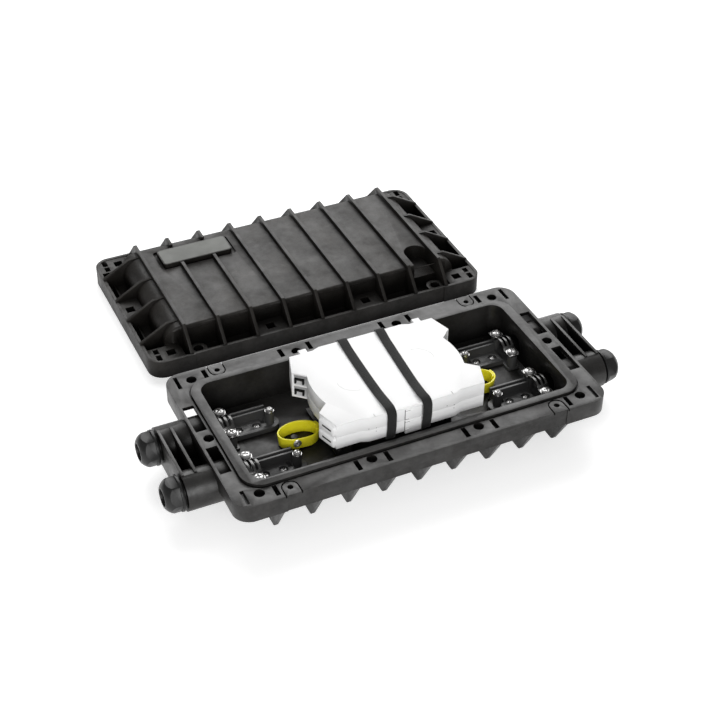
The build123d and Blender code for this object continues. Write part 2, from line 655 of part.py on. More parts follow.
def strap(x):
    """A hook and loop strap round the trays and the bridge's top."""
    inner_y = TRAY_HALF_Y + STRAP_GAP
    z0 = BRIDGE_TOP - BRIDGE_T - STRAP_GAP
    z1 = TRAY_TOP + STRAP_GAP
    height = z1 - z0
    outer = RectangleRounded(2 * inner_y + 2 * STRAP_T, height + 2 * STRAP_T, STRAP_INNER_R + STRAP_T)
    inner = RectangleRounded(2 * inner_y, height, STRAP_INNER_R)
    face = Plane.YZ.offset(x - STRAP_W / 2) * (Pos(0, (z0 + z1) / 2) * (outer - inner))
    return extrude(face, amount=STRAP_W)


def fibre_ring(x):
    """An oval ring of flat strip that stands on its edge and holds looped fibre."""
    outer = Ellipse(RING_LONG / 2, RING_SHORT / 2)
    inner = Ellipse(RING_LONG / 2 - RING_T, RING_SHORT / 2 - RING_T)
    ring = Pos(x, RING_Y, FLOOR_Z + RING_PAD_H) * extrude(outer - inner, amount=RING_H)
    hole = Pos(x + RING_SCREW_X, ring_wall_y(), ring_screw_z()) * Rot(90, 0, 0)
    return ring - hole * Cylinder(M3_SCREW[0] + RING_HOLE_GAP, 6 * RING_T)


def ring_screw(x):
    """The screw through a ring's near wall into its stud."""
    kind = (*M3_SCREW[:3], RING_SCREW_L)
    y = ring_wall_y() - RING_SEAT_GAP
    return Pos(x + RING_SCREW_X, y, ring_screw_z()) * Rot(90, 0, 0) * screw(kind)


def dome(half_x, half_y, top, end_r):
    """The lid's raised middle: a long box whose top rounds down at both ends."""
    arc_x = half_x - end_r
    k = end_r * (1 - 0.5 ** 0.5)
    right = ThreePointArc((arc_x, top), (half_x - k, top - k), (half_x, top - end_r))
    left = ThreePointArc((-half_x, top - end_r), (k - half_x, top - k), (-arc_x, top))
    lower = Polyline((half_x, top - end_r), (half_x, 0), (-half_x, 0), (-half_x, top - end_r))
    upper = Line((-arc_x, top), (arc_x, top))
    outline = Plane.XZ.offset(-half_y) * make_face(right + lower + left + upper)
    return extrude(outline, amount=2 * half_y)


def lid_rib(x):
    """One cross rib of the lid, over the dome and down to the skirt on both sides."""
    foot_y = FLANGE_Y / 2 - 0.9
    rim_y = FLANGE_Y / 2 - 0.3
    knee = LID_RIB_KNEE_Y
    points = [(-rim_y, 0), (-rim_y, LID_SKIRT_H), (-foot_y, LID_RIB_FOOT_Z), (-knee, LID_RIB_TOP),
              (knee, LID_RIB_TOP), (foot_y, LID_RIB_FOOT_Z), (rim_y, LID_SKIRT_H), (rim_y, 0)]
    return cross_plate(points, x, RIB_T, 0.5)


def lid_gussets(side):
    """The four lengthwise gussets at one end of the lid, and the low web across their pockets."""
    rib_x = rib_places()[-1]
    rim_x = FLANGE_X / 2 - 0.5
    points = [(rib_x, FLANGE_T), (rib_x, GUSSET_TOP), (GUSSET_KNEE_X, GUSSET_TOP - 1),
              (rim_x, LID_RIB_FOOT_Z), (rim_x, FLANGE_T)]
    points = [(side * x, z) for x, z in points]
    solids = []
    for gy in GUSSET_Y:
        for sy in SIDES:
            solids.append(long_plate(points, sy * gy, RIB_T))
            ys = (GUSSET_Y[0], GUSSET_Y[1])
            xs = (BOLT_END_X - RIB_T / 2, BOLT_END_X)
            solids.append(mirrored_block(xs, ys, FLANGE_T, END_WEB_H, side, sy))
    return solids


def lid_pads():
    """Solid pads round the lid's bolt holes and the collars over the jack screws."""
    inner_y = DOME_HALF_Y - EMBED
    outer_y = FLANGE_Y / 2 - SKIRT_T / 2
    outer_x = FLANGE_X / 2 - SKIRT_T / 2
    solids = []
    for sx, sy in corners(1, 1):
        half = RIB_PITCH / 2 - RIB_T / 4
        xs = (BOLT_X_INNER - half, BOLT_X_INNER + half)
        solids.append(mirrored_block(xs, (inner_y, outer_y), 0, PAD_TOP, sx, sy))
        xs = (BOLT_X_OUTER - PAD_HALF, outer_x)
        solids.append(mirrored_block(xs, (inner_y, outer_y), 0, PAD_TOP, sx, sy) & flange(0, PAD_TOP))
        solids.append(rod(sx * JACK_X, sy * JACK_Y, 0, COLLAR_TOP, COLLAR_R) & flange(0, COLLAR_TOP))
    for sx in SIDES:
        xs = (CAVITY_X / 2 + WALL / 2, outer_x)
        solids.append(mirrored_block(xs, (-GUSSET_Y[0], GUSSET_Y[0]), 0, PAD_TOP, sx, 1))
    return solids


def lid_cuts():
    """Square bolt holes, jack screw holes, slots, the scoop and the wrench recesses of the lid."""
    solids = []
    for x, y in bolt_places():
        solids.append(Pos(x, y, LID_SKIRT_H / 2) * Box(BOLT_SQUARE, BOLT_SQUARE, LID_SKIRT_H + 2))
    for x, y in corners(BOLT_X_OUTER, BOLT_Y):
        solids.append(rod(x, y, LID_SKIRT_H, LID_RIB_TOP + 1, WRENCH_R))
    for x, y in corners(JACK_X, JACK_Y):
        solids.append(rod(x, y, -1, COLLAR_TOP + 1, COLLAR_HOLE_R))
    for sx, sy in corners(1, 1):
        z0 = LID_SKIRT_H - LID_SLOT_D
        for ys in LID_SLOT_Y:
            solids.append(mirrored_block(LID_SLOT_X, ys, z0, LID_SKIRT_H + 1, sx, sy))
    return solids


def scoop(grow, z0, z1, edge_y):
    """The outline of the scoop beside a jack screw hole between two heights, out to an edge."""
    r = SCOOP_R + grow
    return rod(SCOOP_X, -SCOOP_Y, z0, z1, r) + block(SCOOP_X - r, SCOOP_X + r, -edge_y, -SCOOP_Y, z0, z1)


def label_place(grow, z0, z1):
    """A block over the label's place on the lid, grown on every side."""
    x0, x1 = LABEL_X
    y0, y1 = LABEL_Y
    size = RectangleRounded(x1 - x0 + 2 * grow, y1 - y0 + 2 * grow, LABEL_R)
    return Pos((x0 + x1) / 2, (y0 + y1) / 2, z0) * extrude(size, amount=z1 - z0)


def lid_shell():
    """The moulded lid in its own place, skirt down, before it is moved behind the base."""
    body = dome(TUB_X / 2, DOME_HALF_Y, DOME_TOP, DOME_END_R)
    body = fillet(body.edges().filter_by(Axis.X).group_by(Axis.Z)[-1], DOME_EDGE_R)
    solid = flange(0, LID_SKIRT_H) - flange(FLANGE_T, LID_SKIRT_H, SKIRT_T)
    band_x = CAVITY_X + 2 * RIM_W_X + 2 * WALL
    band_y = CAVITY_Y + 2 * RIM_W_Y + 2 * WALL
    solid += plate(band_x, band_y, CAVITY_R + RIM_W_Y, 0, SEAL_BAND_H)
    solid += body
    ribs = [lid_rib(x) for x in rib_places()]
    place = label_place(MOAT_W, DOME_TOP, LID_RIB_TOP + 1)
    solid += Compound(children=ribs) - place
    for side in SIDES:
        solid += lid_gussets(side)
    solid += lid_pads()
    solid -= label_place(MOAT_W, DOME_TOP - MOAT_D, DOME_TOP + 1)
    solid += label_place(0, DOME_TOP - MOAT_D, DOME_TOP + LABEL_RAISE)
    inner_x = CAVITY_X / 2 - 2
    inner_y = CAVITY_Y / 2 - 1.7
    solid -= Pos(0, 0, -1) * dome(inner_x, inner_y, DOME_TOP - WALL + 1, DOME_END_R - WALL)
    solid += scoop(WALL, SCOOP_FLOOR - WALL, DOME_TOP - WALL, CAVITY_Y / 2)
    solid -= scoop(0, SCOOP_FLOOR, LID_RIB_TOP + 1, DOME_HALF_Y + 1)
    solid -= lid_cuts()
    solid -= seal_groove()
    return solid


def seal_groove():
    """The groove under the lid that takes the base's rim and the gasket."""
    x, y = CAVITY_X + 2 * RIM_W_X, CAVITY_Y + 2 * RIM_W_Y
    r = CAVITY_R + RIM_W_Y
    outer = plate(x + 2 * FIT_GAP, y + 2 * FIT_GAP, r + FIT_GAP, -1, GROOVE_DEPTH)
    return outer - plate(CAVITY_X - 2 * FIT_GAP, CAVITY_Y - 2 * FIT_GAP, CAVITY_R - FIT_GAP, -1, GROOVE_DEPTH)


def seal_gasket():
    """The rubber gasket at the bottom of the lid's groove."""
    x, y = CAVITY_X + 2 * RIM_W_X, CAVITY_Y + 2 * RIM_W_Y
    z0 = GROOVE_DEPTH - GASKET_T
    outer = plate(x, y, CAVITY_R + RIM_W_Y, z0, GROOVE_DEPTH)
    return outer - plate(CAVITY_X, CAVITY_Y, CAVITY_R, z0, GROOVE_DEPTH)


def place_lid(shape):
    """Moves a shape of the lid to where the lid lies behind the base."""
    return Pos(LID_X, LID_Y, 0) * shape


def group(shapes):
    """Several separate solids in one node."""
    return Compound(children=[s for s in shapes])


def build_parts():
    """Every node by name."""
    ends = {"left": -1, "right": 1}
    rows = {"near": -PORT_Y, "far": PORT_Y}
    parts = {"base_shell": base_shell()}
    saddle_screws = []
    member_screws = []
    member_washers = []
    for end, side in ends.items():
        for row, y in rows.items():
            tag = f"{end}_{row}"
            parts[f"gland_nut_{tag}"] = gland_nut(side, y)
            parts[f"clamp_ring_{tag}"] = clamp_ring(side, y)
            parts[f"gland_seal_{tag}"] = gland_seal(side, y)
            parts[f"cable_bracket_{tag}"] = bracket(side, y)
            parts[f"saddle_{tag}"] = saddle(side, y)
            for sy in SIDES:
                place = Pos(side * TOWER_X, y + sy * TOWER_SPREAD, SADDLE_Z + SADDLE_T)
                saddle_screws.append(place * screw(M5_SCREW))
            member_washers.append(
                rod(side * BRACKET_END_X, y, POST_TOP, POST_TOP + WASHER_T, WASHER_R)
                - rod(side * BRACKET_END_X, y, POST_TOP - 1, POST_TOP + WASHER_T + 1, M4_SCREW[0] + 0.2)
            )
            member_screws.append(Pos(side * BRACKET_END_X, y, POST_TOP + WASHER_T) * screw(M4_SCREW))
    floor_screws = [Pos(x, y, seat) * screw(kind) for x, y, seat, kind in floor_screw_places()]
    parts["bracket_screws"] = group([s for i, s in enumerate(floor_screws) if i % 6 < 4])
    parts["bridge_screws"] = group([s for i, s in enumerate(floor_screws) if i % 6 >= 4])
    parts["saddle_screws"] = group(saddle_screws)
    parts["member_screws"] = group(member_screws)
    parts["member_washers"] = group(member_washers)
    parts["tray_bridge"] = tray_bridge()
    stack = Pos(0, TRAY_Y, 0)
    for name, z in (("lower", TRAY_Z), ("upper", TRAY_Z + TRAY_H)):
        parts[f"splice_tray_{name}"] = stack * splice_tray(z)
        parts[f"splice_comb_{name}"] = stack * splice_comb(z + TRAY_WALL)
    parts["tray_cover"] = stack * tray_cover()
    for end, x in zip(ends, STRAP_X):
        parts[f"tray_strap_{end}"] = stack * strap(x)
    for end, x in zip(ends, RING_X):
        parts[f"fibre_ring_{end}"] = fibre_ring(x)
    parts["ring_screws"] = group([ring_screw(x) for x in RING_X])
    parts["lid_shell"] = place_lid(lid_shell())
    parts["seal_gasket"] = place_lid(seal_gasket())
    return parts


os.makedirs("parts", exist_ok=True)
for name, shape in build_parts().items():
    export_step(shape, f"parts/{name}.step")
    print(name, len(shape.solids()), round(shape.volume / 1000, 2), "cm3")
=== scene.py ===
"""A horizontal fibre splice closure, opened, with its lid lying behind the base."""
import json
import logging
import math
from dataclasses import dataclass
from enum import Enum
from functools import cache
from typing import ClassVar

import bmesh
import bpy
from mathutils import Matrix, Vector


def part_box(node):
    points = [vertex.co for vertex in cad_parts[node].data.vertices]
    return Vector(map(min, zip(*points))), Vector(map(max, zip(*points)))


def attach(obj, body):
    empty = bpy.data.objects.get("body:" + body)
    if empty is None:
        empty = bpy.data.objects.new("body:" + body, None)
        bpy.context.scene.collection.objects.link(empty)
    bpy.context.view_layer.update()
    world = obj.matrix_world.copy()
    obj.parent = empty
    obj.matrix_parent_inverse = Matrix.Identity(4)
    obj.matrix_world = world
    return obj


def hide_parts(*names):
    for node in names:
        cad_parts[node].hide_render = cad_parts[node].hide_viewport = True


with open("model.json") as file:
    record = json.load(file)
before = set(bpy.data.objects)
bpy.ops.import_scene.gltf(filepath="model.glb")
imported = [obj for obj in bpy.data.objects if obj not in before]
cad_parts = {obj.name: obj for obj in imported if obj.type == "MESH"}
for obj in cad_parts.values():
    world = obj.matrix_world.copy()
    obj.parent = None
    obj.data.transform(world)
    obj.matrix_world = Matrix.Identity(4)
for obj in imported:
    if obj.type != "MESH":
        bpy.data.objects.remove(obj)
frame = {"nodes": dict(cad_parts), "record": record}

log = logging.getLogger("closure")
Material = bpy.types.Material
Mesh = bpy.types.Mesh
Piece = bpy.types.Object
Socket = bpy.types.NodeSocket
Tone = tuple[float, float, float, float]
Pair = tuple[float, float]
Triple = tuple[float, float, float]
MM = 0.001
MERGE = 0.002 * MM
FLAT_ANGLE = math.radians(0.6)
SHARP_ANGLE = math.radians(32)
WEAR_AND_HIGHLIGHT = "edge_wear"
UP = Vector((0.0, 0.0, 1.0))
SIDES = (-1, 1)


class End(Enum):
    """The two ends of the base."""

    LEFT = -1
    RIGHT = 1


class Row(Enum):
    """The two cable ports of an end."""

    NEAR = "near"
    FAR = "far"


class Edge(Enum):
    """How softly a moulded or pressed piece's edges are rounded: width in metres and segments."""

    SHARP = (0.12 * MM, 1)
    FINE = (0.25 * MM, 2)
    SOFT = (0.5 * MM, 2)


class Cloud(Enum):
    """The finishes' cloud patterns: features in a metre, octaves, roughness, used range and any stretch."""

    FLOW = (28.0, 4.0, 0.6, (0.35, 0.65))
    SPECKS = (700.0, 2.0, 0.6, (0.58, 0.78))
    RUBBING = (90.0, 6.0, 0.75, (0.6, 0.72), (1.0, 6.0, 1.0))
    SCUFFING = (260.0, 4.0, 0.7, (0.42, 0.62))
    GLOSS = (60.0, 5.0, 0.7, (0.3, 0.7))
    SHINE = (38.0, 9.0, 0.78, (0.36, 0.64))
    TARNISH = (240.0, 4.0, 0.6, (0.4, 0.7))
    BLOOM = (80.0, 5.0, 0.7, (0.45, 0.7))


def tags() -> list[str]:
    """The four ports' names as the frame's nodes end in them."""
    return [f"{end.name.lower()}_{row.value}" for end in End for row in Row]


class Wiring:
    """A node tree with short calls that add a node and set or link its inputs."""

    def __init__(self, tree: bpy.types.NodeTree) -> None:
        """Takes the tree to work in."""
        self.tree = tree

    def add(self, kind: str, values: dict | None = None, **settings: object) -> bpy.types.Node:
        """Adds a node.

        Args:
            kind: the node's type.
            values: input name to a value or to another node's output.
            settings: the node's own properties.

        Returns:
            The new node.
        """
        node = self.tree.nodes.new(kind)
        for key, value in settings.items():
            setattr(node, key, value)
        for key, value in (values or {}).items():
            self.put(node.inputs[key], value)
        return node

    def put(self, socket: Socket, value: object) -> None:
        """Sets an input, or links an output to it.

        Args:
            socket: the input.
            value: its value, or the output.
        """
        if isinstance(value, Socket):
            self.tree.links.new(value, socket)
        else:
            socket.default_value = value

    def out(self, kind: str, values: dict | None = None, key: int | str = 0, **settings: object) -> Socket:
        """Adds a node and returns one of its outputs."""
        return self.add(kind, values, **settings).outputs[key]

    def reckon(self, operation: str, first: object, second: object) -> Socket:
        """What a math operation makes of two values or outputs."""
        return self.out("ShaderNodeMath", {0: first, 1: second}, operation=operation)

    def times(self, first: object, second: object) -> Socket:
        """The product of two values or outputs."""
        return self.reckon("MULTIPLY", first, second)


class Graph(Wiring):
    """A material's node tree, with short calls for the nodes that the finishes share."""

    def __init__(self, name: str) -> None:
        """Makes an empty material.

        Args:
            name: the material's name.
        """
        self.material = bpy.data.materials.new(name)
        self.material.use_nodes = True
        super().__init__(self.material.node_tree)
        self.tree.nodes.clear()
        self.coords = self.out("ShaderNodeTexCoord", key="Object")

    def noise(self, scale: float, detail: float, rough: float = 0.5, stretch: Triple | None = None) -> Socket:
        """Cloud noise on the object's own coordinates.

        Args:
            scale: features in one metre.
            detail: octaves.
            rough: how strong the finer octaves are.
            stretch: scale along each axis, for streaks.

        Returns:
            The noise's factor output.
        """
        vector = self.coords
        if stretch:
            vector = self.out("ShaderNodeMapping", {"Vector": vector, "Scale": stretch}, "Vector")
        values = {"Vector": vector, "Scale": scale, "Detail": detail, "Roughness": rough}
        return self.out("ShaderNodeTexNoise", values, "Fac")

    def ramp(self, factor: Socket, low: float, high: float, out_low: float, out_high: float) -> Socket:
        """Maps a factor from the range low to high to the range out_low to out_high, clamped."""
        values = {"Value": factor, "From Min": low, "From Max": high, "To Min": out_low, "To Max": out_high}
        return self.out("ShaderNodeMapRange", values, "Result")

    def cloud(self, cloud: Cloud, low: float = 0.0, high: float = 1.0) -> Socket:
        """A cloud pattern with its used range mapped to the range low to high."""
        scale, detail, rough, used, *stretch = cloud.value
        return self.ramp(self.noise(scale, detail, rough, *stretch), *used, low, high)

    def blend(self, factor: Socket, first: object, second: object) -> Socket:
        """Mixes two colours by a factor."""
        return self.out("ShaderNodeMix", {0: factor, 6: first, 7: second}, 2, data_type="RGBA")

    def bump(self, height: Socket, strength: float, distance: float, normal: Socket | None = None) -> Socket:
        """A bump normal from a height, given the metres of one unit and any normal under it."""
        values = {"Height": height, "Strength": strength, "Distance": distance}
        return self.out("ShaderNodeBump", values | ({"Normal": normal} if normal else {}), "Normal")

    def facing_up(self, least: float) -> Socket:
        """How far a surface faces up, from 0 at the least upward share of its normal to 1."""
        normal = self.out("ShaderNodeNewGeometry", key="Normal")
        return self.ramp(self.out("ShaderNodeSeparateXYZ", {"Vector": normal}, "Z"), least, 1.0, 0.0, 1.0)

    def edge_scuff_and_highlight(self, least: float) -> Socket:
        """How much lighter a rounded edge is made, from 0 off the edges to 1: the scuff cloud is wear, and
        the least share, kept all along every edge, is a painted highlight.
        """
        edge = self.out("ShaderNodeAttribute", key="Fac", attribute_name=WEAR_AND_HIGHLIGHT)
        return self.times(edge, self.cloud(Cloud.SCUFFING, least))

    def openness(self, reach: float, used: Pair, floor: float) -> Socket:
        """How open a place is to the light within its reach, from the floor value in a deep corner to 1."""
        part = self.out("ShaderNodeAmbientOcclusion", {"Distance": reach}, "AO", samples=6)
        return self.ramp(part, *used, floor, 1.0)

    def finish(self, values: dict) -> Material:
        """Closes the tree with a principled shader with these inputs, and returns the material."""
        shader = self.out("ShaderNodeBsdfPrincipled", values)
        self.add("ShaderNodeOutputMaterial", {"Surface": shader})
        return self.material


def grey(value: float, warm: float = 0.0) -> Tone:
    """A grey in linear light, slightly warm where asked."""
    return (value * (1 + warm), value, value * (1 - warm), 1.0)


def tint(tone: Tone, factor: float, lift: float = 0.0) -> Tone:
    """A tone made lighter or darker by a factor, then lifted."""
    return tuple(min(1.0, c * factor + lift) for c in tone[:3]) + (1.0,)


@dataclass(frozen=True)
class MouldedPlastic:
    """Moulded plastic with spark grain, flow tone and faint rubbing marks, and where asked painted shade that
    darkens its colour and reflections in recesses.
    """

    name: str
    tone: Tone
    rough: float = 0.5
    grain: float = 2200.0
    grain_depth: float = 0.05 * MM
    grain_strength: float = 0.35
    mottle: float = 0.14
    rub: float = 0.25
    dust: float = 0.0
    specular: float = 0.5
    soft_light: float = 0.0
    # How strongly rounded edges are lightened: scuffed wear over a painted highlight.
    edge: float = 0.0
    # Painted shade: how far recesses and deep corners are darkened.
    recess_shade: float = 0.0
    rough_spread: float = 0.07
    speck_tint: float = 1.5
    rub_tint: Pair = (1.35, 0.004)
    edge_wear_and_highlight_tint: Pair = (3.5, 0.03)
    edge_highlight_least: float = 0.25
    dust_tone: Tone = grey(0.34, 0.03)
    dust_from: float = 0.5
    wave_scale: float = 14.0
    wave_strength: float = 0.25
    wave_depth: float = 0.4 * MM
    # Reach and used range of the occlusion that places the painted shade in recesses.
    recess_shade_reach: float = 26.0 * MM
    recess_shade_used: Pair = (0.35, 0.9)
    light_depth: float = 0.8 * MM

    def build(self) -> Material:
        """Makes the material."""
        g = Graph(self.name)
        dark, light = tint(self.tone, 1 - self.mottle), tint(self.tone, 1 + self.mottle)
        colour = g.blend(g.cloud(Cloud.FLOW), dark, light)
        colour = g.blend(g.cloud(Cloud.SPECKS, 0.0, self.mottle), colour, tint(self.tone, self.speck_tint))
        colour = g.blend(g.cloud(Cloud.RUBBING, 0.0, self.rub), colour, tint(self.tone, *self.rub_tint))
        if self.dust:
            colour = g.blend(g.times(g.facing_up(self.dust_from), self.dust), colour, self.dust_tone)
        # Lighter rounded edges: scuffed wear over a painted highlight that runs along every edge.
        if self.edge:
            worn_and_highlighted = g.times(g.edge_scuff_and_highlight(self.edge_highlight_least), self.edge)
            colour = g.blend(worn_and_highlighted, colour, tint(self.tone, *self.edge_wear_and_highlight_tint))
        rough = g.cloud(Cloud.GLOSS, self.rough - self.rough_spread, self.rough + self.rough_spread)
        normal = g.bump(g.noise(self.wave_scale, 2.0), self.wave_strength, self.wave_depth)
        normal = g.bump(g.noise(self.grain, 2.0, 0.6), self.grain_strength, self.grain_depth, normal)
        values = {"Roughness": rough, "Normal": normal, "Specular IOR Level": self.specular}
        # Painted shade: an occlusion factor darkens the colour and the specular level in recesses and deep
        # corners, where shade falls.
        if self.recess_shade:
            unshaded_part = g.openness(self.recess_shade_reach, self.recess_shade_used, 1.0 - self.recess_shade)
            colour = g.blend(unshaded_part, grey(0.0), colour)
            least, most = self.specular * (1.0 - self.mottle), self.specular * (1.0 + self.mottle)
            values["Specular IOR Level"] = g.times(unshaded_part, g.cloud(Cloud.SHINE, least, most))
        values["Base Color"] = colour
        if self.soft_light:
            values["Subsurface Weight"] = self.soft_light
            values["Subsurface Radius"] = (self.light_depth,) * 3
            values["Subsurface Scale"] = 1.0
        return g.finish(values)


@dataclass(frozen=True)
class PlatedSteel:
    """Zinc or nickel plated steel with fine turning or rolling marks."""

    name: str
    tone: Tone
    rough: float = 0.22
    streak: Triple = (1.0, 1.0, 1.0)
    streak_scale: float = 900.0
    streak_used: Pair = (0.3, 0.7)
    streak_rough: Pair = (0.7, 1.5)
    streak_depth: float = 0.03 * MM
    dulling: float = 0.78

    def build(self) -> Material:
        """Makes the material."""
        g = Graph(self.name)
        colour = g.blend(g.cloud(Cloud.TARNISH), self.tone, tint(self.tone, self.dulling))
        marks = g.noise(self.streak_scale, 3.0, 0.6, self.streak)
        rough = g.ramp(marks, *self.streak_used, *(self.rough * share for share in self.streak_rough))
        normal = g.bump(marks, 0.2, self.streak_depth)
        return g.finish({"Base Color": colour, "Roughness": rough, "Metallic": 1.0, "Normal": normal})


@dataclass(frozen=True)
class Rubber:
    """Dull black rubber."""

    name: str
    tone: Tone
    rough: float = 0.82
    bloom: float = 1.6
    grain: float = 1600.0
    grain_depth: float = 0.05 * MM

    def build(self) -> Material:
        """Makes the material."""
        g = Graph(self.name)
        colour = g.blend(g.cloud(Cloud.BLOOM), self.tone, tint(self.tone, self.bloom))
        normal = g.bump(g.noise(self.grain, 3.0, 0.7), 0.4, self.grain_depth)
        return g.finish({"Base Color": colour, "Roughness": self.rough, "Normal": normal})


@dataclass(frozen=True)
class HookLoopTape:
    """Woven black tape with a brushed loop face."""

    name: str
    tone: Tone
    rib_pitch: float = 0.55 * MM
    band_turn: float = 6.28
    weave_depth: float = 0.15 * MM
    fluff_scale: float = 3200.0
    fluff_used: Pair = (0.4, 0.75)
    fluff_depth: float = 0.2 * MM
    fluff_tint: float = 2.4

    def build(self) -> Material:
        """Makes the material."""
        g = Graph(self.name)
        turns = {"Vector": g.coords, "Scale": 1.0 / self.rib_pitch / self.band_turn, "Distortion": 1.2,
                 "Detail": 2.0, "Detail Scale": 3.0}
        ribs = g.out("ShaderNodeTexWave", turns, "Fac", bands_direction="X")
        picks = g.out("ShaderNodeTexWave", turns, "Fac", bands_direction="DIAGONAL")
        fluff = g.noise(self.fluff_scale, 5.0, 0.8)
        brushed = g.ramp(fluff, *self.fluff_used, 0.0, 1.0)
        colour = g.blend(brushed, self.tone, tint(self.tone, self.fluff_tint))
        normal = g.bump(g.times(ribs, picks), 0.6, self.weave_depth)
        normal = g.bump(fluff, 0.8, self.fluff_depth, normal)
        return g.finish({"Base Color": colour, "Roughness": 0.9, "Normal": normal, "Sheen Weight": 0.25,
                         "Sheen Roughness": 0.4})


class Finish(Enum):
    """Every finish of the closure."""

    # The body and the lid darken their recesses with painted shade.
    BODY = MouldedPlastic("charcoal_moulding", grey(0.015, 0.06), 0.38, mottle=0.4, rub=0.6, dust=0.03,
                          edge=0.6, recess_shade=0.8, specular=0.38)
    LID = MouldedPlastic("weathered_lid_moulding", grey(0.015, 0.12), 0.42, mottle=0.45, rub=0.7, dust=0.03,
                         edge=0.7, recess_shade=0.8, specular=0.22)
    LABEL = MouldedPlastic("bare_label_plate", (0.062, 0.066, 0.056, 1.0), mottle=0.2, rub=0.6, dust=0.03)
    GLAND = MouldedPlastic("dark_gland_nylon", grey(0.011), 0.36, 900.0, grain_strength=0.12, rub=0.12,
                           edge=0.3, specular=0.33)
    BRACKET = MouldedPlastic("black_bracket_nylon", grey(0.045), 0.36, rub=0.3, edge=0.4)
    TRAY = MouldedPlastic("white_tray_plastic", grey(0.88), 0.36, 1500.0, 0.02 * MM, 0.15, 0.015, 0.05,
                          soft_light=0.12)
    RING = MouldedPlastic("yellow_ring_plastic", (0.97, 0.86, 0.03, 1.0), 0.3, 1500.0, 0.02 * MM, 0.15, 0.06,
                          0.1, soft_light=0.15)
    SCREW = PlatedSteel("plated_screw_steel", grey(0.5, 0.01), 0.26)
    DULL_SCREW = PlatedSteel("dull_screw_steel", grey(0.9, 0.01), 0.4)
    PRESSING = PlatedSteel("pressed_strip_steel", grey(0.13, 0.01), 0.26, (1.0, 12.0, 1.0))
    POST = PlatedSteel("blackened_post_steel", grey(0.05, 0.03), 0.18, (1.0, 1.0, 0.05))
    BRIDGE = MouldedPlastic("coated_bridge_steel", grey(0.012), 0.45, 1200.0)
    SEAL = Rubber("seal_rubber", grey(0.012))
    COMB = Rubber("comb_rubber", grey(0.55))
    STRAP = HookLoopTape("hook_loop_tape", grey(0.005))
    # Mid grey, for lines that stand in for the shade at a plate's edges: painted shade.
    SEAM = MouldedPlastic("seam_line_plastic", grey(0.16), 0.6)
    # Near black, for blocks and discs that stand in for shade: painted shade.
    SHADE = MouldedPlastic("shaded_slit_plastic", grey(0.012), 0.7, specular=0.2)


@cache
def material_of(finish: Finish) -> Material:
    """The finish's material, made once."""
    return finish.value.build()


def body_of_node(node: str) -> str:
    """The body that a frame's node rides on."""
    bodies = frame["record"]["behaviour"]["bodies"]
    return next(body for body, nodes in bodies.items() if node in nodes)


def in_scene(name: str, data: bpy.types.ID | None) -> Piece:
    """Puts an object in the scene.

    Args:
        name: the object's name.
        data: its mesh, camera or lamp.

    Returns:
        The new object.
    """
    item = bpy.data.objects.new(name, data)
    bpy.context.scene.collection.objects.link(item)
    return item


def new_piece(name: str, mesh: Mesh, finish: Finish) -> Piece:
    """Puts a mesh in the scene as a piece.

    Args:
        name: the piece's name.
        mesh: its mesh, in the frame's place.
        finish: its finish.

    Returns:
        The new object.
    """
    mesh.materials.clear()
    mesh.materials.append(material_of(finish))
    return in_scene(name, mesh)


def settle(piece: Piece, node: str, *nodes: str) -> None:
    """Fixes a piece to a node's body and hides the nodes that it stands for.

    Args:
        piece: the finished piece.
        node: the node whose body it shares.
        nodes: the frame's nodes that it replaces.
    """
    body = body_of_node(node)
    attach(piece, body)
    if nodes:
        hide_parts(*nodes)
    log.info("%s on %s, %d faces", piece.name, body, len(piece.data.polygons))


def merged_copy(node: str) -> Mesh:
    """A frame node's mesh with its loose triangles joined and its flat faces made whole.

    Args:
        node: the node's name.

    Returns:
        A new mesh.
    """
    mesh = frame["nodes"][node].data.copy()
    work = bmesh.new()
    work.from_mesh(mesh)
    bmesh.ops.remove_doubles(work, verts=work.verts, dist=MERGE)
    bmesh.ops.dissolve_limit(work, angle_limit=FLAT_ANGLE, verts=work.verts, edges=work.edges)
    work.to_mesh(mesh)
    work.free()
    return mesh


def plain_mesh(piece: Piece) -> Mesh:
    """What an object's modifiers make of its mesh. They are removed.

    Args:
        piece: the object.

    Returns:
        A new mesh.
    """
    graph = bpy.context.evaluated_depsgraph_get()
    mesh = bpy.data.meshes.new_from_object(piece.evaluated_get(graph))
    piece.modifiers.clear()
    return mesh


def smooth(mesh: Mesh) -> None:
    """Shades a mesh smooth between its sharp edges."""
    mesh.set_sharp_from_angle(angle=SHARP_ANGLE)
    mesh.polygons.foreach_set("use_smooth", [True] * len(mesh.polygons))


def round_edges(piece: Piece, edge: Edge) -> None:
    """Rounds a piece's edges for good and marks the rounded faces for edge wear and a painted edge highlight.

    Args:
        piece: the piece.
        edge: how softly.
    """
    piece.data.materials.append(piece.data.materials[0])
    bevel = piece.modifiers.new("rounding", "BEVEL")
    bevel.material = 1
    bevel.width, bevel.segments = edge.value
    bevel.limit_method = "ANGLE"
    bevel.angle_limit = SHARP_ANGLE
    bevel.harden_normals = False
    bevel.use_clamp_overlap = True
    mesh = piece.data = plain_mesh(piece)
    marks = [float(face.material_index) for face in mesh.polygons]
    mesh.attributes.new(WEAR_AND_HIGHLIGHT, "FLOAT", "FACE").data.foreach_set("value", marks)
    mesh.polygons.foreach_set("material_index", [0] * len(marks))
    mesh.materials.pop(index=1)
    smooth(mesh)


def dress(node: str, finish: Finish, edge: Edge = Edge.FINE) -> Piece:
    """Replaces a node by a copy of it with rounded edges and its finish.

    Args:
        node: the frame's node.
        finish: the finish.
        edge: how softly its edges are rounded.

    Returns:
        The piece.
    """
    piece = new_piece(f"{node}_piece", merged_copy(node), finish)
    round_edges(piece, edge)
    settle(piece, node, node)
    return piece


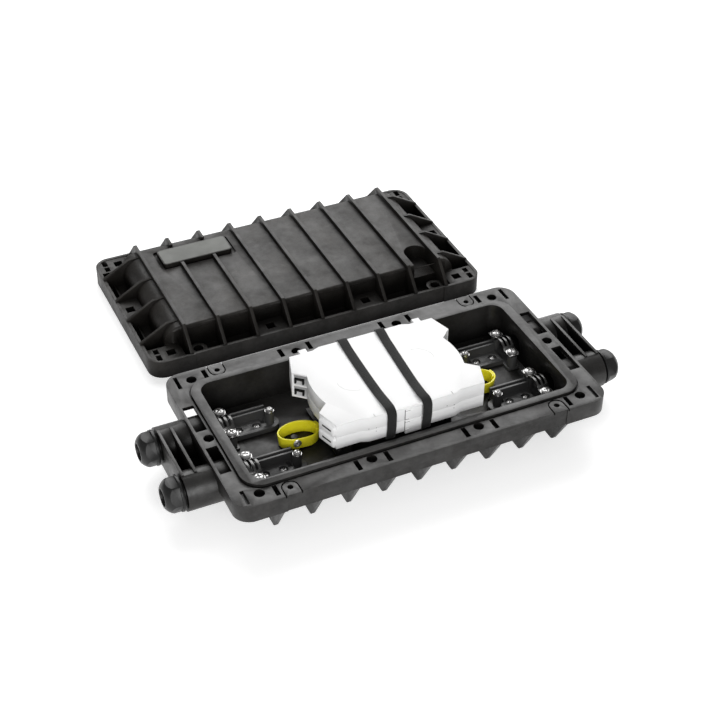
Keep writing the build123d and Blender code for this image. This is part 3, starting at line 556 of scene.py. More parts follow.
def add_piece(name: str, shape: Mesh | list[Mesh], finish: Finish, node: str, *nodes: str) -> None:
    """Adds a modelled piece that belongs with a node of the frame.

    Args:
        name: the piece's name.
        shape: its mesh, or meshes that are joined.
        finish: its finish.
        node: the node whose body it shares.
        nodes: the nodes that it replaces.
    """
    mesh = joined(shape) if isinstance(shape, list) else shape
    piece = new_piece(name, mesh, finish)
    smooth(mesh)
    settle(piece, node, *nodes)


def mesh_of(work: bmesh.types.BMesh) -> Mesh:
    """Turns a working mesh into a finished one, its faces turned outward.

    Args:
        work: the working mesh, which is freed.

    Returns:
        The mesh.
    """
    bmesh.ops.recalc_face_normals(work, faces=work.faces)
    mesh = bpy.data.meshes.new("shape")
    work.to_mesh(mesh)
    work.free()
    return mesh


def joined(meshes: list[Mesh]) -> Mesh:
    """One mesh made of several.

    Args:
        meshes: the meshes.

    Returns:
        The mesh.
    """
    work = bmesh.new()
    for mesh in meshes:
        work.from_mesh(mesh)
    return mesh_of(work)


def rounded_section(width: float, height: float, radius: float, steps: int = 3) -> list[Pair]:
    """The outline of a rounded oblong round the origin.

    Args:
        width: its size along the first axis.
        height: its size along the second axis.
        radius: its corners' radius.
        steps: segments in each corner.

    Returns:
        The outline's points in order.
    """
    outline = []
    for turn, (sx, sy) in enumerate(((1, 1), (-1, 1), (-1, -1), (1, -1))):
        for i in range(steps + 1):
            angle = math.radians(90 * (turn + i / steps))
            outline.append((sx * (width / 2 - radius) + radius * math.cos(angle),
                            sy * (height / 2 - radius) + radius * math.sin(angle)))
    return outline


def swept(path: list[Vector], across: list[Vector], outward: list[Vector], section: list[Pair],
          closed: bool = False) -> Mesh:
    """Carries a section along a path.

    Args:
        path: the path's points.
        across: the section's first axis at each point.
        outward: the section's second axis at each point.
        section: the section's outline in those axes.
        closed: whether the path's end joins its start.

    Returns:
        The mesh.
    """
    work = bmesh.new()
    rows = [[work.verts.new(p + a * u + o * v) for u, v in section] for p, a, o in zip(path, across, outward)]
    pairs = list(zip(rows, rows[1:]))
    if closed:
        pairs.append((rows[-1], rows[0]))
    else:
        work.faces.new(rows[0])
        work.faces.new(rows[-1])
    for first, second in pairs:
        for i in range(len(section)):
            work.faces.new((first[i - 1], first[i], second[i], second[i - 1]))
    return mesh_of(work)


def tangents(path: list[Vector], closed: bool = False) -> list[Vector]:
    """The direction of a path at each of its points.

    Args:
        path: the path's points.
        closed: whether the path's end joins its start.

    Returns:
        The directions.
    """
    before = [path[-1 if closed else 0], *path[:-1]]
    after = [*path[1:], path[0 if closed else -1]]
    return [(last - first).normalized() for first, last in zip(before, after)]


def ease(value: float) -> float:
    """A smooth step from 0 to 1."""
    value = min(1.0, max(0.0, value))
    return value * value * (3 - 2 * value)


def slab(low: Vector, high: Vector, round_off: float, segments: int = 2) -> Mesh:
    """A block between two corners, all of its edges rounded.

    Args:
        low: its lowest corner.
        high: its highest corner.
        round_off: its edges' radius.
        segments: how finely they are rounded.

    Returns:
        The mesh.
    """
    work = bmesh.new()
    bmesh.ops.create_cube(work, size=1.0)
    middle = (low + high) / 2
    for vert in work.verts:
        vert.co = Vector(vert.co[i] * (high[i] - low[i]) + middle[i] for i in range(3))
    bmesh.ops.bevel(work, geom=list(work.edges), offset=round_off, segments=segments, profile=0.5,
                    affect="EDGES")
    return mesh_of(work)


def turned_block(size: Triple, round_off: float, middle: Vector, turn: float, segments: int = 1) -> Mesh:
    """A rounded block that is turned about the Z axis.

    Args:
        size: its size along its run, across it and up.
        round_off: its edges' radius.
        middle: its centre.
        turn: the direction of its run, in radians from +X.
        segments: how finely its edges are rounded.

    Returns:
        The mesh.
    """
    half = Vector(size) / 2
    mesh = slab(-half, half, round_off, segments)
    mesh.transform(Matrix.Translation(middle) @ Matrix.Rotation(turn, 4, "Z"))
    return mesh


def steps(start: float, end: float, step: float) -> list[float]:
    """Values from start to just before end, evenly spaced."""
    count = max(2, round(abs(end - start) / step))
    return [start + (end - start) * i / count for i in range(count)]


def arc(centre: Pair, radius: float, first: float, last: float, pitch: float = 9) -> list[Pair]:
    """Points of an arc from one angle to just before another, in degrees.

    Args:
        centre: its centre.
        radius: its radius.
        first: the angle of its first point.
        last: the angle that it stops before.
        pitch: the angle between its points.

    Returns:
        The points.
    """
    count = max(4, round(abs(last - first) / pitch))
    turns = [math.radians(first + (last - first) * i / count) for i in range(count)]
    return [(centre[0] + radius * math.cos(a), centre[1] + radius * math.sin(a)) for a in turns]


class Pattern(Wiring):
    """A Geometry Nodes tree with named sizes, which builds on a mesh of points."""

    kinds: ClassVar[dict[type, str]] = {float: "NodeSocketFloat", int: "NodeSocketInt",
                                        tuple: "NodeSocketVector", Material: "NodeSocketMaterial"}
    seed: ClassVar[int] = 7

    def __init__(self, name: str) -> None:
        """Makes the empty tree with its points in and its mesh out.

        Args:
            name: the tree's name.
        """
        super().__init__(bpy.data.node_groups.new(name, "GeometryNodeTree"))
        for title, way in (("Places", "INPUT"), ("Mesh", "OUTPUT")):
            self.tree.interface.new_socket(title, in_out=way, socket_type="NodeSocketGeometry")
        self.entry = self.add("NodeGroupInput")
        self.values: dict[str, object] = {}

    def size(self, name: str, value: object) -> Socket:
        """Adds a named input with its value.

        Args:
            name: the input's name.
            value: its value, whose type decides the socket's.

        Returns:
            The input's socket inside the tree.
        """
        kind = self.kinds[type(value)]
        item = self.tree.interface.new_socket(name, in_out="INPUT", socket_type=kind)
        self.values[item.identifier] = value
        return next(socket for socket in self.entry.outputs if socket.identifier == item.identifier)

    def vector(self, x: object = 0.0, y: object = 0.0, z: object = 0.0) -> Socket:
        """A vector made of three values or outputs."""
        return self.out("ShaderNodeCombineXYZ", {"X": x, "Y": y, "Z": z})

    def drum(self, radius: Socket, depth: Socket, vertices: int, **extra: int) -> Socket:
        """A cylinder round the Z axis, centred on the origin."""
        values = {"Vertices": vertices, "Radius": radius, "Depth": depth, **extra}
        return self.out("GeometryNodeMeshCylinder", values, "Mesh")

    def raised(self, shape: Socket, height: Socket) -> Socket:
        """A shape moved up."""
        return self.out("GeometryNodeTransform", {"Geometry": shape, "Translation": self.vector(z=height)})

    def rod(self, line: Socket, radius: Socket, sides: int) -> Socket:
        """A bar round a curve, its ends closed."""
        edge = self.out("GeometryNodeCurvePrimitiveCircle", {"Resolution": sides, "Radius": radius})
        return self.out("GeometryNodeCurveToMesh", {"Curve": line, "Profile Curve": edge, "Fill Caps": True})

    def coil(self, radius: Socket, ridge: Socket, length: Socket, turns: Socket) -> Socket:
        """A thread's ridge round the Z axis, from the origin up.

        Args:
            radius: the radius of its middle line.
            ridge: the ridge's own radius.
            length: its length along the axis.
            turns: how many turns it makes.

        Returns:
            The output that holds it.
        """
        values = {"Resolution": 20, "Rotations": turns, "Start Radius": radius, "End Radius": radius,
                  "Height": length}
        return self.rod(self.out("GeometryNodeCurveSpiral", values), ridge, 4)

    def join(self, shapes: list[Socket]) -> Socket:
        """Several shapes as one.

        Args:
            shapes: the outputs that hold them.

        Returns:
            The output that holds them all.
        """
        node = self.add("GeometryNodeJoinGeometry")
        for shape in shapes:
            self.put(node.inputs[0], shape)
        return node.outputs[0]

    def grow(self, points: list[Vector], shape: Socket, finish: Finish, tilt: Triple | None = None,
             spin: float = 0.0) -> Mesh:
        """Sets the shape on each point, gives it its finish and returns the plain mesh.

        Args:
            points: where the shape stands.
            shape: the output that holds the shape.
            finish: its finish.
            tilt: how every copy is turned, in radians.
            spin: the largest random turn of a copy round its own axis, in radians.

        Returns:
            The mesh.
        """
        values = {"Points": self.entry.outputs[0], "Instance": shape}
        if tilt:
            values["Rotation"] = self.size("Tilt", tilt)
        copies = self.out("GeometryNodeInstanceOnPoints", values)
        if spin:
            draw = {2: 0.0, 3: self.size("Largest turn", spin), "Seed": self.size("Seed", self.seed)}
            turn = self.vector(z=self.out("FunctionNodeRandomValue", draw, 1, data_type="FLOAT"))
            copies = self.out("GeometryNodeRotateInstances", {"Instances": copies, "Rotation": turn})
        real = self.out("GeometryNodeRealizeInstances", {"Geometry": copies})
        dressed = {"Geometry": real, "Material": self.size("Finish", material_of(finish))}
        self.add("NodeGroupOutput", {0: self.out("GeometryNodeSetMaterial", dressed)})
        return self.run(points)

    def run(self, points: list[Vector]) -> Mesh:
        """Runs the tree on the points and keeps the result without the modifier.

        Args:
            points: where the shape stands.

        Returns:
            The mesh.
        """
        places = bpy.data.meshes.new("places")
        places.from_pydata(points, [], [])
        holder = in_scene(self.tree.name, places)
        modifier = holder.modifiers.new("pattern", "NODES")
        modifier.node_group = self.tree
        for identifier, value in self.values.items():
            modifier[identifier] = value
        mesh = plain_mesh(holder)
        bpy.data.objects.remove(holder)
        return mesh


@dataclass(frozen=True)
class Box:
    """A box by its lowest and highest corners."""

    low: Vector
    high: Vector

    @property
    def middle(self) -> Vector:
        """The box's centre."""
        return (self.low + self.high) / 2


def node_box(node: str) -> Box:
    """The box of a frame node."""
    low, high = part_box(node)
    return Box(Vector(low), Vector(high))


def solids_in(node: str) -> list[Box]:
    """The box of each separate solid in a node.

    Args:
        node: the node's name.

    Returns:
        The boxes, in the order of their lowest corners.
    """
    work = bmesh.new()
    work.from_mesh(merged_copy(node))
    left = set(work.verts)
    boxes = []
    while left:
        front = [left.pop()]
        found = list(front)
        while front:
            vert = front.pop()
            near = {edge.other_vert(vert) for edge in vert.link_edges} & left
            left -= near
            front.extend(near)
            found.extend(near)
        low, high = (Vector(pick(vert.co[i] for vert in found) for i in range(3)) for pick in (min, max))
        boxes.append(Box(low, high))
    work.free()
    return sorted(boxes, key=lambda box: tuple(round(v, 5) for v in box.low))


@dataclass(frozen=True)
class PanScrew:
    """A pan head screw. Its recess and dome are shares of the head, its thread is shares of the shank."""

    shank_r: float
    head_r: float
    head_h: float
    collar: Pair | None = None
    arm_wide: float = 0.30
    arm_long: float = 1.1
    recess: float = 0.62
    dome_fall: float = -0.45
    dome_power: float = 3.0
    pitch: float = 0.36
    ridge: float = 0.36
    thread_long: float = 0.96
    thread_low: float = -0.98

    def fit(self, node: str, lying: bool = False, finish: Finish = Finish.SCREW) -> None:
        """Replaces a node's screws by turned ones with a domed head and a cross recess.

        Args:
            node: the frame's node of like screws.
            lying: whether they point to the back, not down.
            finish: their plating.
        """
        boxes = solids_in(node)
        low, high = boxes[0].low, boxes[0].high
        g = Pattern(f"{node}_pattern")
        shapes = [self.head(g), *self.shank(g, (high.y - low.y if lying else high.z - low.z) - self.head_h)]
        if self.collar:
            radius, height = self.collar
            shapes.append(g.drum(g.size("Collar radius", radius), g.size("Collar height", height), 48))
        if lying:
            points = [Vector((b.middle.x, b.low.y + self.head_h, b.middle.z)) for b in boxes]
        else:
            points = [Vector((b.middle.x, b.middle.y, b.high.z - self.head_h)) for b in boxes]
        tilt = (math.pi / 2 if lying else 0.0, 0.0, 0.0)
        mesh = g.grow(points, g.join(shapes), finish, tilt, math.tau)
        add_piece(f"{node}_turned", mesh, finish, node, node)

    def head(self, g: Pattern) -> Socket:
        """The domed head with its cross recess.

        Args:
            g: the pattern that it is made in.

        Returns:
            The output that holds it.
        """
        radius, height = g.size("Head radius", self.head_r), g.size("Head height", self.head_h)
        arm = g.size("Recess arm", self.head_r * self.arm_wide)
        tall = g.times(g.size("Recess depth", self.head_h * self.recess), 2.0)
        long_arm = g.times(radius, self.arm_long)
        blank = g.drum(radius, height, 40, **{"Fill Segments": 5, "Side Segments": 3})
        blank = g.raised(blank, g.times(height, 0.5))
        place = g.out("GeometryNodeInputPosition")
        flat = g.out("ShaderNodeVectorMath", {0: place, 1: (1.0, 1.0, 0.0)}, operation="MULTIPLY")
        off = g.out("ShaderNodeVectorMath", {0: flat}, "Value", operation="LENGTH")
        fall = g.reckon("POWER", g.reckon("DIVIDE", off, radius), self.dome_power)
        level = g.out("ShaderNodeSeparateXYZ", {"Vector": place}, "Z")
        drop = g.vector(z=g.times(fall, g.times(level, self.dome_fall)))
        head = g.out("GeometryNodeSetPosition", {"Geometry": blank, "Offset": drop})
        carve = g.add("GeometryNodeMeshBoolean", {"Mesh 1": head}, operation="DIFFERENCE", solver="EXACT")
        for size in (g.vector(long_arm, arm, tall), g.vector(arm, long_arm, tall)):
            g.put(carve.inputs["Mesh 2"], g.raised(g.out("GeometryNodeMeshCube", {"Size": size}), height))
        return carve.outputs[0]

    def shank(self, g: Pattern, reach: float) -> tuple[Socket, Socket]:
        """The shank below the head, and its thread.

        Args:
            g: the pattern that they are made in.
            reach: the shank's length.

        Returns:
            The outputs that hold them.
        """
        radius, length = g.size("Shank radius", self.shank_r), g.size("Shank length", reach)
        pitch = g.size("Thread pitch", self.shank_r * self.pitch)
        bar = g.raised(g.drum(radius, length, 20), g.times(length, -0.5))
        turns = g.reckon("DIVIDE", length, pitch)
        thread = g.coil(radius, g.times(pitch, self.ridge), g.times(length, self.thread_long), turns)
        return bar, g.raised(thread, g.times(length, self.thread_low))


class Pan(Enum):
    """The closure's pan head screws: shank radius, head radius, head height, and any collar's two sizes."""

    M3 = PanScrew(1.5 * MM, 3.6 * MM, 2.0 * MM)
    M4 = PanScrew(2.0 * MM, 3.5 * MM, 2.6 * MM)
    M5 = PanScrew(2.5 * MM, 4.9 * MM, 3.0 * MM, (5.6 * MM, 0.9 * MM))


@dataclass
class Shells:
    """The moulded base and lid, and the gasket in the lid.

    The thread's band is the radii, counted from the crest, that are turned down to its root, and its starts
    are the gaps at the inner end of a right neck and at the outer end of a left one.
    """

    edge: Edge = Edge.SOFT
    crest_gap: float = 0.4 * MM
    thread_band: Pair = (-1.2 * MM, 0.3 * MM)
    thread_run: float = 8.6 * MM
    thread_skip: float = 0.2 * MM
    thread_short: float = 0.9 * MM
    thread_starts: Pair = (0.3 * MM, 0.6 * MM)
    thread_depth: float = 0.55 * MM
    thread_ridge: float = 0.96
    neck_pitch: float = 1.5 * MM
    rib_pitch: float = 33.0 * MM
    rib_count: int = 9
    dome_near: float = 174.7 * MM
    dome_top: float = 34.6 * MM
    lip_drop: float = 3.2 * MM
    lip_short: float = 1.9 * MM
    lip_r: float = 0.45 * MM
    label_low: Pair = (-105.6 * MM, 272.6 * MM)
    label_high: Pair = (-37.2 * MM, 296.2 * MM)
    label_top: float = 38.0 * MM
    label_sink: float = 0.4 * MM
    label_rise: float = 0.12 * MM
    label_round: float = 2.6 * MM

    def build(self) -> None:
        """Dresses both shells and adds the threads, the lid's lips and its label face."""
        base = dress("base_shell", Finish.BODY, self.edge)
        dress("lid_shell", Finish.LID, self.edge)
        dress("seal_gasket", Finish.SEAL)
        self.neck_threads(base)
        self.lips()
        self.label_face()

    def neck_threads(self, base: Piece) -> None:
        """Turns the four necks down to the thread's root and winds the thread's ridge round each.

        Args:
            base: the dressed base, whose necks are turned down.
        """
        ring = node_box("clamp_ring_right_near")
        crest_r = (ring.high.y - ring.low.y) / 2 + self.crest_gap
        least, most = (crest_r + gap for gap in self.thread_band)
        neck_end = node_box("gland_seal_right_near").high.x
        start = neck_end - self.thread_run
        rows = [node_box(f"gland_seal_right_{row.value}").middle for row in Row]
        for vert in base.data.vertices:
            if abs(vert.co.x) < start + self.thread_skip:
                continue
            for row in rows:
                off = Vector((0.0, vert.co.y - row.y, vert.co.z - row.z))
                if least < off.length < most:
                    vert.co -= off.normalized() * self.thread_depth
        g = Pattern("neck_thread_pattern")
        length = g.size("Thread length", neck_end - start - self.thread_short)
        turns = g.reckon("DIVIDE", length, g.size("Pitch", self.neck_pitch))
        root = g.size("Root radius", crest_r - self.thread_depth)
        thread = g.coil(root, g.size("Ridge", self.thread_depth * self.thread_ridge), length, turns)
        right, left = self.thread_starts
        points = [Vector((x, row.y, row.z)) for x in (start + right, left - neck_end) for row in rows]
        mesh = g.grow(points, thread, Finish.BODY, (0.0, math.pi / 2, 0.0))
        add_piece("neck_threads", mesh, Finish.BODY, "base_shell")

    def lips(self) -> None:
        """Adds the moulded lip along the dome's near edge, one length in each bay."""
        middle = node_box("lid_shell").middle.x
        g = Pattern("bay_lip_pattern")
        half = g.size("Half length", self.rib_pitch / 2 - self.lip_short)
        ends = {"Start": g.vector(x=g.times(half, -1.0)), "End": g.vector(x=half)}
        lip = g.rod(g.out("GeometryNodeCurvePrimitiveLine", ends), g.size("Lip radius", self.lip_r), 8)
        points = [Vector((middle + (i - (self.rib_count - 2) / 2) * self.rib_pitch, self.dome_near,
                          self.dome_top - self.lip_drop)) for i in range(self.rib_count - 1)]
        add_piece("lid_bay_lips", g.grow(points, lip, Finish.LID), Finish.LID, "lid_shell")

    def label_face(self) -> None:
        """Lays the smooth bare face on the raised label place."""
        low = Vector((*self.label_low, self.label_top - self.label_sink))
        high = Vector((*self.label_high, self.label_top + self.label_rise))
        size, middle = high - low, (low + high) / 2
        work = bmesh.new()
        outline = rounded_section(size.x, size.y, self.label_round, 6)
        face = work.faces.new([work.verts.new((middle.x + x, middle.y + y, low.z)) for x, y in outline])
        parts = bmesh.ops.extrude_face_region(work, geom=[face])["geom"]
        top = [part for part in parts if isinstance(part, bmesh.types.BMVert)]
        bmesh.ops.translate(work, vec=UP * size.z, verts=top)
        piece = new_piece("lid_label_face", mesh_of(work), Finish.LABEL)
        round_edges(piece, Edge.SHARP)
        settle(piece, "lid_shell")


@dataclass
class Glands:
    """The four cable glands."""

    def build(self) -> None:
        """Dresses each gland's nut, clamp ring and seal."""
        for tag in tags():
            dress(f"gland_nut_{tag}", Finish.GLAND)
            dress(f"clamp_ring_{tag}", Finish.GLAND)
            dress(f"gland_seal_{tag}", Finish.SEAL)


@dataclass
class Clamps:
    """The brackets and saddles that hold the cables, with their screws."""

    sleeve_r: float = 3.85 * MM
    sleeve_low: float = 4.5 * MM
    washer_r: float = 4.0 * MM

    def build(self) -> None:
        """Dresses each bracket and saddle, and their screws."""
        for tag in tags():
            dress(f"cable_bracket_{tag}", Finish.BRACKET)
            dress(f"saddle_{tag}", Finish.PRESSING)
            self.post(f"cable_bracket_{tag}")
        self.washers()
        for node, pan in (("bracket_screws", Pan.M4), ("saddle_screws", Pan.M5), ("member_screws", Pan.M4)):
            pan.value.fit(node)

    def washers(self) -> None:
        """Sets a small washer under each post's screw."""
        node = "member_washers"
        boxes = solids_in(node)
        g = Pattern(f"{node}_pattern")
        tall = g.size("Washer height", boxes[0].high.z - boxes[0].low.z)
        disc = g.drum(g.size("Washer radius", self.washer_r), tall, 48)
        mesh = g.grow([b.middle for b in boxes], disc, Finish.SCREW)
        add_piece(f"{node}_turned", mesh, Finish.SCREW, node, node)

    def post(self, node: str) -> None:
        """Adds the turned sleeve round a bracket's post.

        Args:
            node: the bracket's node.
        """
        box = node_box(node)
        washer = min(solids_in("member_washers"), key=lambda b: (b.middle - box.middle).length)
        low = box.low.z + self.sleeve_low
        g = Pattern(f"{node}_post_pattern")
        tall = g.size("Sleeve height", washer.low.z - low)
        sleeve = g.raised(g.drum(g.size("Sleeve radius", self.sleeve_r), tall, 40), g.times(tall, 0.5))
        mesh = g.grow([Vector((washer.middle.x, washer.middle.y, low))], sleeve, Finish.POST)
        add_piece(f"{node}_post_sleeve", mesh, Finish.POST, node)


@dataclass
class FibreRings:
    """The two yellow rings, each a strip whose ends overlap, and their screws. Turns are in degrees."""

    strip: float = 1.6 * MM
    strip_round: float = 0.5 * MM
    flare: float = 0.09
    lap: float = 42.0
    lap_gap: float = 0.05 * MM
    lift_end: float = 330.0
    lift_turn: float = 40.0
    steps: int = 150

    def build(self) -> None:
        """Bends both rings and fits their screws."""
        for end in End:
            self.ring(f"fibre_ring_{end.name.lower()}")
        Pan.M3.value.fit("ring_screws", lying=True, finish=Finish.DULL_SCREW)

    def ring(self, node: str) -> None:
        """Bends one ring.

        Args:
            node: the ring's node.
        """
        box = node_box(node)
        half = (box.high - box.low) / 2
        long_r, short_r = half.x - self.strip / 2, half.y - self.strip / 2
        path, side, out = [], [], []
        for i in range(self.steps + 1):
            run = (360.0 + self.lap) * i / self.steps
            lift = (self.strip + self.lap_gap) * ease((run - self.lift_end + self.lap) / self.lift_turn)
            angle = math.radians(run - self.lap / 2)
            spot = Vector((long_r * math.cos(angle), short_r * math.sin(angle), 0.0))
            radial = Vector((spot.x / long_r ** 2, spot.y / short_r ** 2, 0.0)).normalized()
            path.append(box.middle + spot + radial * lift)
            out.append(radial)
            side.append((UP + radial * self.flare).normalized())
        section = rounded_section(box.high.z - box.low.z, self.strip, self.strip_round)
        add_piece(f"{node}_strip", swept(path, side, out, section), Finish.RING, node, node)


@dataclass(frozen=True)
class Route:
    """A strap's x on the cover's far edge, halfway, at the near bend and on the near face."""

    far: float
    middle: float
    bend: float
    face: float
    bend_in: float = 9.0 * MM
    face_in: float = 1.0 * MM
    face_run: float = 10.0 * MM

    def across(self, y: float, far_y: float, near_y: float) -> float:
        """The strap's x where it crosses the cover.

        Args:
            y: the place asked for.
            far_y: the stack's far face.
            near_y: its near face.

        Returns:
            The x.
        """
        bend_y = near_y + self.bend_in
        knots = ((far_y, self.far), ((far_y + bend_y) / 2, self.middle), (bend_y, self.bend))
        curve = sum(x * math.prod((y - other) / (own - other) for other, _ in knots if other != own)
                    for own, x in knots)
        return curve + (self.face - curve) * ease((bend_y + self.face_in - y) / self.face_run)


@dataclass
class Straps:
    """The two hook and loop straps that hold the trays on their bridge.

    A bend is its radius and how far the tape stands off there. The lap lies between two heights.
    """

    width: float = 8.4 * MM
    thick: float = 1.4 * MM
    tape_round: float = 0.4 * MM
    gap: float = 0.12 * MM
    cover_rise: float = 1.8 * MM
    bridge_drop: float = 1.6 * MM
    near_bend: Pair = (6.5 * MM, 1.6 * MM)
    far_bend: Pair = (4.0 * MM, 0.9 * MM)
    low_bend: float = 1.5 * MM
    rise: float = 16.0 * MM
    near_run: float = 26.0 * MM
    side_from: float = 8.0 * MM
    side_run: float = 20.0 * MM
    step: float = 1.4 * MM
    lap_z: Pair = (46.5 * MM, 64.0 * MM)
    lap_deep: float = 2.5 * MM
    lap_gap: float = 0.9 * MM
    lap_run: float = 5.0 * MM
    lap_thin: float = 0.9
    routes: ClassVar[dict[End, Route]] = {End.LEFT: Route(-17.9 * MM, -19.9 * MM, -20.6 * MM, -20.6 * MM),
                                          End.RIGHT: Route(18.3 * MM, 14.7 * MM, 11.7 * MM, 12.4 * MM)}

    def build(self) -> None:
        """Lays both straps."""
        for end, route in self.routes.items():
            node = f"tray_strap_{end.name.lower()}"
            path = self.loop(route)
            add_piece(f"{node}_tape", self.tape(path, self.thick, True), Finish.STRAP, node, node)
            add_piece(f"{node}_lap", self.lap(path), Finish.STRAP, node)

    def loop(self, route: Route) -> list[Vector]:
        """The strap's middle line, from its near lower corner up over the cover and round.

        Args:
            route: where it crosses.

        Returns:
            The closed line's points.
        """
        trays, cover = node_box("splice_tray_lower"), node_box("splice_tray_upper")
        clear = self.gap + self.thick / 2
        near, far = trays.low.y - clear, trays.high.y + clear
        top, low = cover.high.z + self.cover_rise + clear, trays.low.z - self.bridge_drop - clear
        (near_r, near_s), (far_r, far_s) = self.near_bend, self.far_bend
        near_y, near_z = near - near_s + near_r, top + near_s - near_r
        far_y, far_z = far + far_s - far_r, top + far_s - far_r
        low_r, foot = self.low_bend, low + self.low_bend
        line = [(near - near_s * ease((z - low) / self.rise), z) for z in steps(foot, near_z, self.step)]
        line += arc((near_y, near_z), near_r, 180, 90)
        for y in steps(near_y, far_y, self.step):
            near_lift = near_s * (1 - ease((y - near_y) / self.near_run))
            line.append((y, top + near_lift + far_s * (1 - ease((far_y - y) / self.rise))))
        line += arc((far_y, far_z), far_r, 90, 0)
        line += [(far + far_s * ease((z - low) / self.rise), z) for z in steps(far_z, foot, self.step)]
        line += arc((far - low_r, foot), low_r, 0, -90)
        line += [(y, low) for y in steps(far - low_r, near + low_r, self.step)]
        line += arc((near + low_r, foot), low_r, -90, -180)
        placed = []
        for y, z in line:
            under = ease((top - z - self.side_from) / self.side_run)
            over = route.across(min(y, far), far, near)
            along = route.face + (route.far - route.face) * (y - near) / (far - near)
            placed.append(Vector((over * (1 - under) + along * under, y, z)))
        return placed

    def tape(self, path: list[Vector], thick: float, closed: bool = False) -> Mesh:
        """A length of tape along a line.

        Args:
            path: the line's points.
            thick: the tape's thickness.
            closed: whether it is a loop.

        Returns:
            The mesh.
        """
        along = tangents(path, closed)
        side = [(Vector((1.0, 0.0, 0.0)) - t * t.x).normalized() for t in along]
        out = [a.cross(t) for a, t in zip(side, along)]
        return swept(path, side, out, rounded_section(self.width, thick, self.tape_round, 2), closed)

    def lap(self, path: list[Vector]) -> Mesh:
        """The tape's free end, pressed on its own far side and standing off a little at its tip.

        Args:
            path: the tape's middle line.

        Returns:
            The mesh.
        """
        (low, high), back = self.lap_z, max(p.y for p in path) - self.lap_deep
        part = [p for p in path if p.y > back and low < p.z < high]
        gaps = [self.lap_gap * (1 - ease((part[0].z - p.z) / self.lap_run)) for p in part]
        shifted = [p + Vector((0.0, self.thick + gap, 0.0)) for p, gap in zip(part, gaps)]
        return self.tape(shifted, self.thick * self.lap_thin)


